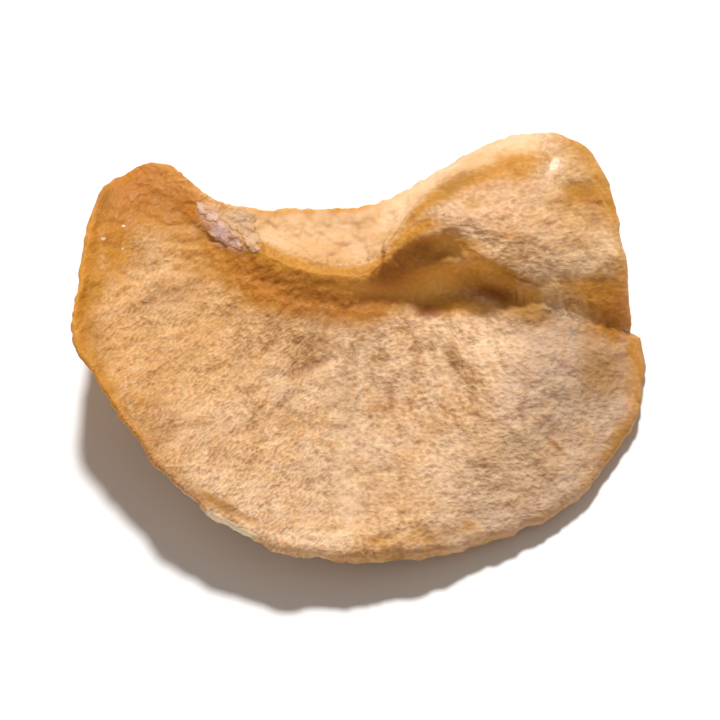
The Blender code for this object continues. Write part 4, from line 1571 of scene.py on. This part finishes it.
@dataclass
class Relief:
    """Wrinkles of the whole skin, made by Geometry Nodes. Sizes are in metres."""

    sizes: dict[str, float] = field(
        default_factory=lambda: {
            "Wrinkle depth": 0.00023,
            "Wrinkle size": 0.0026,
            "Skin depth": 0.00027,
            "Skin size": 0.0010,
            "Fold depth": 0.00050,
            "Fold size": 0.0050,
            "Ray depth": 0.00040,
            "Ray turns": 12.0,
            "Crease depth": 0.00022,
            "Crease turns": 5.0,
        }
    )
    core_centre: Pair = (-1.0, 6.0)
    seed: float = 7.0
    sway: Pair = (5.0, 0.9)
    ray_start: Pair = (5.0, 12.0)
    ray_change: float = 0.22
    crease_change: float = 0.09
    amber_calm: float = 0.25

    def tree(self, material: bpy.types.Material) -> tuple[bpy.types.NodeTree, dict[str, str]]:
        """Builds the Geometry Nodes tree.

        Args:
            material: what the skin is dressed in.

        Returns:
            The tree and its inputs' identifiers by name.
        """
        tree = bpy.data.node_groups.new("skin_wrinkles", "GeometryNodeTree")
        tree.interface.new_socket(name="Geometry", in_out="INPUT", socket_type="NodeSocketGeometry")
        names = {}
        for name in self.sizes:
            socket = tree.interface.new_socket(name=name, in_out="INPUT", socket_type="NodeSocketFloat")
            names[name] = socket.identifier
        tree.interface.new_socket(name="Geometry", in_out="OUTPUT", socket_type="NodeSocketGeometry")
        net = NodeNet(tree)
        group = net.add("NodeGroupInput").socket.node
        given = {socket.name: Wire(net, socket) for socket in group.outputs if socket.name}
        offset = self.offset(net, given)
        moved = net.add("GeometryNodeSetPosition", {}, {"Geometry": given["Geometry"], "Offset": offset})
        real = net.add("GeometryNodeRealizeInstances", {}, {"Geometry": moved})
        dressed = net.add("GeometryNodeSetMaterial", {}, {"Geometry": real, "Material": material})
        net.add("NodeGroupOutput", {}, {"Geometry": dressed})
        return tree, names

    def offset(self, net: NodeNet, given: dict[str, Wire]) -> Wire:
        """How far each point moves: wrinkles, folds and rays along the normal.

        Args:
            net: the tree.
            given: its inputs by name.

        Returns:
            The offset in metres.
        """
        place, weave = net.add("GeometryNodeInputPosition"), self.named(net, "weave", "FLOAT_VECTOR")
        wrinkles = (self.cloud(net, place, given["Wrinkle size"]) - 0.5).math("ABSOLUTE").smooth(0.0, 0.14)
        skin = self.cloud(net, place, given["Skin size"]) - 0.5
        folds = self.cloud(net, place, given["Fold size"]) - 0.5
        lift = (wrinkles - 0.6) * given["Wrinkle depth"] + skin * given["Skin depth"]
        lift = lift + self.rays(net, weave, given["Ray turns"], self.ray_change) * given["Ray depth"]
        lift = lift * (1.0 - self.named(net, "amber") * self.amber_calm) + folds * given["Fold depth"]
        creases = self.rays(net, weave, given["Crease turns"], self.crease_change)
        lift = lift + creases * given["Crease depth"]
        normal = net.add("GeometryNodeInputNormal")
        return net.vector("SCALE", normal, scale=lift * self.named(net, "soft"))

    @staticmethod
    def named(net: NodeNet, name: str, kind: str = "FLOAT") -> Wire:
        """One of the skin's attributes."""
        return net.add("GeometryNodeInputNamedAttribute", {"data_type": kind}, {"Name": name})

    def cloud(self, net: NodeNet, place: Wire, size: Wire) -> Wire:
        """Cloudy noise from 0 to 1 with spots of that size in metres."""
        inputs = {"Vector": place, "W": self.seed, "Scale": size**-1.0, "Detail": 2.0}
        return net.add("ShaderNodeTexNoise", {"noise_dimensions": "4D"}, inputs)

    def rays(self, net: NodeNet, weave: Wire, turns: Wire, per_mm: float) -> Wire:
        """Folds that run out from the core.

        Args:
            net: the tree.
            weave: the skin's places on the board.
            turns: folds for each radian round the core.
            per_mm: changes along a fold, for each millimetre.

        Returns:
            Their height, from -0.5 to 0.5.
        """
        turn, radius = net.polar(net.vector("ADD", weave, net.sway(weave, *self.sway)), self.core_centre)
        lines = net.join(turn * turns, radius * per_mm)
        inputs = {"Vector": lines, "W": self.seed, "Scale": 1.0, "Detail": 1.5}
        noise = net.add("ShaderNodeTexNoise", {"noise_dimensions": "4D"}, inputs)
        return (noise - 0.5) * radius.smooth(*self.ray_start)

    def applied(self, piece: bpy.types.Object, material: bpy.types.Material) -> bpy.types.Mesh:
        """Gives the piece its wrinkles.

        Args:
            piece: the smooth slice.
            material: what the skin is dressed in.

        Returns:
            The piece's mesh with the wrinkles in it.
        """
        tree, names = self.tree(material)
        modifier = piece.modifiers.new("skin_wrinkles", "NODES")
        modifier.node_group = tree
        for name, size in self.sizes.items():
            modifier[names[name]] = size
        depsgraph = bpy.context.evaluated_depsgraph_get()
        mesh = bpy.data.meshes.new_from_object(piece.evaluated_get(depsgraph), depsgraph=depsgraph)
        piece.modifiers.remove(modifier)
        return mesh


@dataclass(frozen=True)
class Flake:
    """One papery flake: its middle, its reach along and across its slant, its tone and its curl."""

    x: float
    up: float
    along: float
    across: float
    slant: float
    lilac: float
    curl: float


@dataclass(frozen=True)
class CoreMembrane:
    """Papery flakes of the core wall that lie on the left lip. Lengths are in millimetres."""

    flakes: tuple[Flake, ...] = (
        Flake(-16.2, 7.6, 0.9, 0.5, -35.0, 0.5, 0.03),
        Flake(-15.2, 6.9, 1.0, 0.6, -20.0, 0.7, 0.07),
        Flake(-14.4, 5.2, 1.35, 1.0, -50.0, 1.0, 0.10),
        Flake(-12.9, 4.1, 0.9, 0.6, -30.0, 0.8, 0.06),
        Flake(-12.4, 6.3, 1.9, 1.2, -25.0, 0.0, 0.03),
        Flake(-11.3, 4.7, 1.2, 0.8, -50.0, 0.1, 0.04),
        Flake(-11.0, 3.5, 0.7, 0.4, -20.0, 0.3, 0.05),
    )
    form: SliceForm = SliceForm()
    rings: int = 9
    spokes: int = 56
    lift: float = 0.01
    thickness: float = 0.03
    crumple: float = 0.03
    crumple_waves: tuple[Pair, Pair] = ((7.0, 3.0), (-4.0, 6.0))
    curl_turn: float = 2.3
    curl_least: float = -0.2
    above: float = 60.0
    lilac: Colour = tone(224, 176, 160)
    paper: Colour = tone(216, 168, 122)
    flesh: Colour = tone(204, 144, 90)
    speck: Colour = tone(168, 112, 74)
    spot_size: float = 0.7
    speck_size: float = 0.45
    least_lift: float = 0.01
    torn_waves: tuple[Triple, ...] = ((3.0, 1.0, 0.16), (7.0, 2.0, 0.10), (13.0, 3.0, 0.05))
    scatter: float = 0.2
    scatter_radius: Triple = (1.0, 0.5, 0.35)
    scatter_scale: float = 0.0006
    bump_depth: float = 0.0002
    roughness: float = 0.6

    def build(self, skin: bpy.types.Mesh) -> bpy.types.Object:
        """Makes the flakes on the slice's own skin.

        Args:
            skin: the slice's finished mesh.

        Returns:
            The flakes as one piece.
        """
        tree = BVHTree.FromPolygons([v.co for v in skin.vertices], [p.vertices for p in skin.polygons])
        vertices, faces = [], []
        values = {"lilac": [], "edge": []}
        for number, flake in enumerate(self.flakes):
            reach, turn, x, up = self.places(flake, float(number))
            place, normal = self.on_skin(tree, x, up)
            side = np.cos(turn - self.curl_turn * number)
            lift = self.lift + flake.curl * reach**4 * np.maximum(side, self.curl_least)
            first, second = ((x * right + up * upwards) for right, upwards in self.crumple_waves)
            lift = lift + self.crumple * np.sin(first) * np.sin(second)
            lift = np.maximum(lift, self.least_lift)[:, None]
            faces += self.shell(sum(len(part) for part in vertices))
            vertices += [place + normal * (lift + self.thickness) * MM, place + normal * lift * MM]
            values["lilac"] += [flake.lilac + 0.0 * reach] * 2
            values["edge"] += [reach] * 2
        mesh = bpy.data.meshes.new("core_flakes")
        mesh.from_pydata(np.concatenate(vertices).tolist(), [], faces)
        for name, parts in values.items():
            write_values(mesh, name, np.concatenate(parts))
        mesh.materials.append(self.material())
        mesh.shade_smooth()
        piece = link("core_flakes", mesh)
        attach(piece, BODY)
        return piece

    def places(self, flake: Flake, start: float) -> tuple[Array, Array, Array, Array]:
        """The flake's points, its middle first.

        Args:
            flake: its sizes.
            start: where the waves of its torn edge start.

        Returns:
            Part of the way out, turn, and place on the board.
        """
        ring, turn = np.meshgrid(
            np.linspace(0.0, 1.0, self.rings + 1)[1:],
            np.linspace(0.0, 2.0 * np.pi, self.spokes, endpoint=False),
            indexing="ij",
        )
        reach = np.concatenate([[0.0], ring.reshape(-1)])
        turn = np.concatenate([[0.0], turn.reshape(-1)])
        torn = 1.0 + sum(size * np.sin(turn * waves + start * shift) for waves, shift, size in self.torn_waves)
        slant = math.radians(flake.slant)
        way, aside = flake.along * torn * reach * np.cos(turn), flake.across * torn * reach * np.sin(turn)
        x = flake.x + way * math.cos(slant) - aside * math.sin(slant)
        return reach, turn, x, flake.up + way * math.sin(slant) + aside * math.cos(slant)

    def on_skin(self, tree: BVHTree, x: Array, up: Array) -> Places:
        """Points of the skin that the eye sees at places on the board.

        Args:
            tree: the skin's faces.
            x: places to the right.
            up: places upwards.

        Returns:
            The points in metres, and the skin's normals there.
        """
        shift = self.form.zero_point()
        starts = (self.form.to_world(x, up, np.full_like(x, self.above)) - shift) * MM
        ends = (self.form.to_world(x, up, np.zeros_like(x)) - shift) * MM
        hits = [tree.ray_cast(Vector(a), Vector(b - a)) for a, b in zip(starts.tolist(), ends)]
        return np.array([hit[0] for hit in hits]), np.array([hit[1] for hit in hits])

    def shell(self, start: int) -> list[tuple[int, ...]]:
        """Faces of a closed thin shell between two sheets of rings and spokes.

        Args:
            start: number of its first point.

        Returns:
            The faces, which point outwards.
        """
        spokes, faces = self.spokes, []
        low = self.rings * spokes + 1

        def at(sheet: int, ring: int, spoke: int) -> int:
            """Number of a point; ring 0 is next to the middle."""
            return start + sheet * low + 1 + ring * spokes + spoke % spokes

        for k in range(spokes):
            faces.append((start, at(0, 0, k), at(0, 0, k + 1)))
            faces.append((start + low, at(1, 0, k + 1), at(1, 0, k)))
            for ring in range(self.rings - 1):
                faces.append((at(0, ring, k), at(0, ring + 1, k), at(0, ring + 1, k + 1), at(0, ring, k + 1)))
                faces.append((at(1, ring, k), at(1, ring, k + 1), at(1, ring + 1, k + 1), at(1, ring + 1, k)))
            last = self.rings - 1
            faces.append((at(0, last, k), at(1, last, k), at(1, last, k + 1), at(0, last, k + 1)))
        return faces

    def material(self) -> bpy.types.Material:
        """Builds the node tree of thin papery tissue.

        Returns:
            The material, which takes on the flesh's tone at the flakes' edges.
        """
        material = bpy.data.materials.new("core_paper")
        material.use_nodes = True
        net = NodeNet(material.node_tree)
        place = net.object_place()
        spots = net.noise(place, self.spot_size, 3.0, 0.6)
        specks = net.noise(place, self.speck_size, 3.0).smooth(0.5, 0.70)
        colour = net.mix((net.given("lilac") + (spots - 0.5) * 0.6).clamp(), self.paper, self.lilac)
        colour = net.mix(specks * 0.45, colour, self.speck)
        colour = net.mix((net.given("edge") + (spots - 0.5) * 0.5).smooth(0.55, 1.0) * 0.85, colour, self.flesh)
        inputs = {
            "Base Color": colour,
            "Roughness": self.roughness,
            "Subsurface Weight": self.scatter,
            "Subsurface Radius": self.scatter_radius,
            "Subsurface Scale": self.scatter_scale,
            "Normal": net.bump(spots, self.bump_depth),
        }
        net.finish(inputs)
        return material


@dataclass
class AppleSlice:
    """The slice itself: one closed skin with fine relief and flesh colours."""

    form: SliceForm = SliceForm()
    finish: FleshFinish = FleshFinish()
    relief: Relief = field(default_factory=Relief)
    fine: GridSize = GridSize(396, 104, 20, 68)
    quick: GridSize = GridSize(198, 52, 10, 34)
    under_step: int = 2
    floor_fade: Pair = (0.25, 1.4)
    wall_weave: float = 1.1

    def build(self) -> list[bpy.types.Object]:
        """Makes the slice, with its relief and material, and the flakes on its core wall.

        Returns:
            The finished pieces.
        """
        board, upper, lower = self.form.surfaces(self.fine)
        shift = self.form.zero_point()
        piece = link("dried_flesh", self.skin(board, (upper - shift) * MM, (lower - shift) * MM))
        piece.data = self.relief.applied(piece, self.finish.material())
        piece.data.name = "dried_flesh"
        piece.data.shade_smooth()
        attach(piece, BODY)
        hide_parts(NODE)
        return [piece, CoreMembrane(form=self.form).build(piece.data)]

    def skin(self, board: Board, upper: Array, lower: Array) -> bpy.types.Mesh:
        """One closed mesh: the front in full, the underside with every second rib and row.

        Args:
            board: the grid's places.
            upper: the front's points, in metres.
            lower: the underside's points, in metres.

        Returns:
            The mesh, with its masks and its weave as attributes.
        """
        ribs, rows = board.x.shape
        numbers = np.arange(ribs * rows).reshape(ribs, rows)
        i, j = np.meshgrid(np.arange(ribs - 1), np.arange(rows - 1), indexing="ij")
        corners = ((i, j), (i + 1, j), (i + 1, j + 1), (i, j + 1))
        faces = np.stack([numbers[c] for c in corners], axis=-1).reshape(-1, 4).tolist()
        picked_ribs, picked_rows = self.every_second(ribs), self.every_second(rows)
        under = np.zeros((len(picked_ribs), len(picked_rows)), dtype=int)
        extra = []
        for a, rib in enumerate(picked_ribs):
            for b, row in enumerate(picked_rows):
                if rib in (0, ribs - 1) or row in (0, rows - 1):
                    under[a, b] = numbers[rib, row]
                else:
                    under[a, b] = ribs * rows + len(extra)
                    extra.append((rib, row))
        for a in range(len(picked_ribs) - 1):
            for b in range(len(picked_rows) - 1):
                ring = self.under_face(numbers, under, picked_ribs, picked_rows, a, b)
                faces.append(ring[::-1])
        below = tuple(np.array(extra).T)
        points = np.concatenate([upper.reshape(-1, 3), lower[below]])
        mesh = bpy.data.meshes.new("dried_flesh")
        mesh.from_pydata(points.tolist(), [], faces)
        self.face_outwards(mesh)
        self.mark(mesh, board, points, below)
        return mesh

    def every_second(self, count: int) -> list[int]:
        """Picks ribs or rows for the underside.

        Args:
            count: how many there are.

        Returns:
            Every second number from 0, and the last.
        """
        picked = list(range(0, count, self.under_step))
        if picked[-1] != count - 1:
            picked.append(count - 1)
        return picked

    @staticmethod
    def under_face(numbers: Array, under: Array, ribs: list[int], rows: list[int], a: int, b: int) -> list[int]:
        """One face of the underside.

        Args:
            numbers: the front's point numbers.
            under: the underside's point numbers.
            ribs: ribs that the underside uses.
            rows: rows that the underside uses.
            a: the face's rib among them.
            b: the face's row among them.

        Returns:
            Its point numbers, with the front's points between its corners on the outline.
        """
        skipped_ribs, skipped_rows = slice(ribs[a] + 1, ribs[a + 1]), slice(rows[b] + 1, rows[b + 1])
        rim = numbers[skipped_ribs, 0].tolist() if b == 0 else []
        end = numbers[-1, skipped_rows].tolist() if a == len(ribs) - 2 else []
        far = numbers[skipped_ribs, -1].tolist() if b == len(rows) - 2 else []
        start = numbers[0, skipped_rows].tolist() if a == 0 else []
        corners = [int(under[a + i, b + j]) for i, j in ((0, 0), (1, 0), (1, 1), (0, 1))]
        return [corners[0], *rim, corners[1], *end, corners[2], *far[::-1], corners[3], *start[::-1]]

    @staticmethod
    def face_outwards(mesh: bpy.types.Mesh) -> None:
        """Turns all faces outwards.

        Args:
            mesh: a closed mesh.
        """
        work = bmesh.new()
        work.from_mesh(mesh)
        bmesh.ops.recalc_face_normals(work, faces=work.faces)
        work.to_mesh(mesh)
        work.free()

    def mark(self, mesh: bpy.types.Mesh, board: Board, points: Array, below: tuple[Array, ...]) -> None:
        """Writes the masks and the weave on the mesh.

        Args:
            mesh: the slice's mesh.
            board: the grid's places.
            points: all points, in metres.
            below: grid places of the underside's own points.
        """
        tints = Tints(self.form)
        for mask in Mask:
            values = tints.values(mask, board)
            under = values[below] * (0.0 if mask.front_only else 1.0)
            write_values(mesh, mask.label, np.concatenate([values.reshape(-1), under]))
        write_values(mesh, "soft", smooth_step(points[:, 2] / MM, *self.floor_fade))
        place = np.stack([board.x, board.up, 0.0 * board.x], axis=-1).reshape(-1, 3)
        below_place = points[len(place) :] / MM
        below_place = below_place - below_place[:, 2:] * np.array([0.0, self.wall_weave, 1.0])
        write_values(mesh, "weave", np.concatenate([place, below_place]))


@dataclass
class Studio:
    """Camera, light and floor. Lengths are in metres, angles in degrees."""

    form: SliceForm = SliceForm()
    focal_pixels: float = 2850.0
    frame_pixels: float = 720.0
    sensor: float = 36.0
    aim: Vector = field(default_factory=lambda: Vector((-0.0003, -0.0015, 0.0060)))
    sun_elevation: float = 60.0
    sun_softness: float = 8.0
    sun_energy: float = 3.6
    sky_strength: float = 0.32
    sky_colour: Colour = (1.0, 0.90, 0.82, 1.0)
    floor_half: float = 1.5
    floor_colour: Colour = (0.86, 0.86, 0.86, 1.0)
    floor_roughness: float = 0.9
    clip_start: float = 0.01

    def build(self) -> None:
        """Makes the camera, the light and the floor."""
        scene = bpy.context.scene
        scene.camera = self.camera()
        scene.world = self.sky()
        self.sun()
        self.floor()
        scene.view_settings.view_transform = "Standard"
        scene.view_settings.look = "None"

    def camera(self) -> bpy.types.Object:
        """A camera at the eye's place that looks at the slice's middle.

        Returns:
            The camera.
        """
        data = bpy.data.cameras.new("camera")
        data.sensor_width = self.sensor
        data.lens = self.sensor * self.focal_pixels / self.frame_pixels
        data.clip_start = self.clip_start
        camera = link("camera", data)
        elevation = self.form.eye_elevation
        eye = Vector((0.0, -math.cos(elevation), math.sin(elevation)))
        centre = Vector((-self.form.zero_point() * MM).tolist())
        camera.location = centre + eye * self.form.eye_distance * MM
        look = (self.aim - camera.location).normalized()
        side = look.cross(Vector((0.0, 0.0, 1.0))).normalized()
        camera.rotation_euler = Matrix((side, side.cross(look), -look)).transposed().to_euler()
        return camera

    def sun(self) -> None:
        """Soft light from high behind the slice."""
        data = bpy.data.lights.new("key", "SUN")
        data.energy = self.sun_energy
        data.angle = math.radians(self.sun_softness)
        elevation = math.radians(self.sun_elevation)
        way = Vector((0.0, math.cos(elevation), math.sin(elevation)))
        link("key", data).rotation_euler = way.to_track_quat("Z", "Y").to_euler()

    def sky(self) -> bpy.types.World:
        """Even, slightly warm light from all sides.

        Returns:
            The world.
        """
        world = bpy.data.worlds.new("sky")
        world.use_nodes = True
        background = world.node_tree.nodes["Background"]
        background.inputs["Color"].default_value = self.sky_colour
        background.inputs["Strength"].default_value = self.sky_strength
        return world

    def floor(self) -> bpy.types.Object:
        """A plain white floor.

        Returns:
            The floor.
        """
        half = self.floor_half
        mesh = bpy.data.meshes.new("floor")
        corners = [(-half, -half, 0.0), (half, -half, 0.0), (half, half, 0.0), (-half, half, 0.0)]
        mesh.from_pydata(corners, [], [(0, 1, 2, 3)])
        material = bpy.data.materials.new("floor")
        material.use_nodes = True
        shader = material.node_tree.nodes["Principled BSDF"]
        shader.inputs["Base Color"].default_value = self.floor_colour
        shader.inputs["Roughness"].default_value = self.floor_roughness
        mesh.materials.append(material)
        return link("floor", mesh)


def main() -> None:
    """Builds the slice and the studio, and reports each piece."""
    logging.basicConfig(level=logging.INFO, format="%(name)s: %(message)s")
    Studio().build()
    for piece in AppleSlice().build():
        LOG.info("%s: %d faces", piece.name, len(piece.data.polygons))


if __name__ == "__main__":
    main()
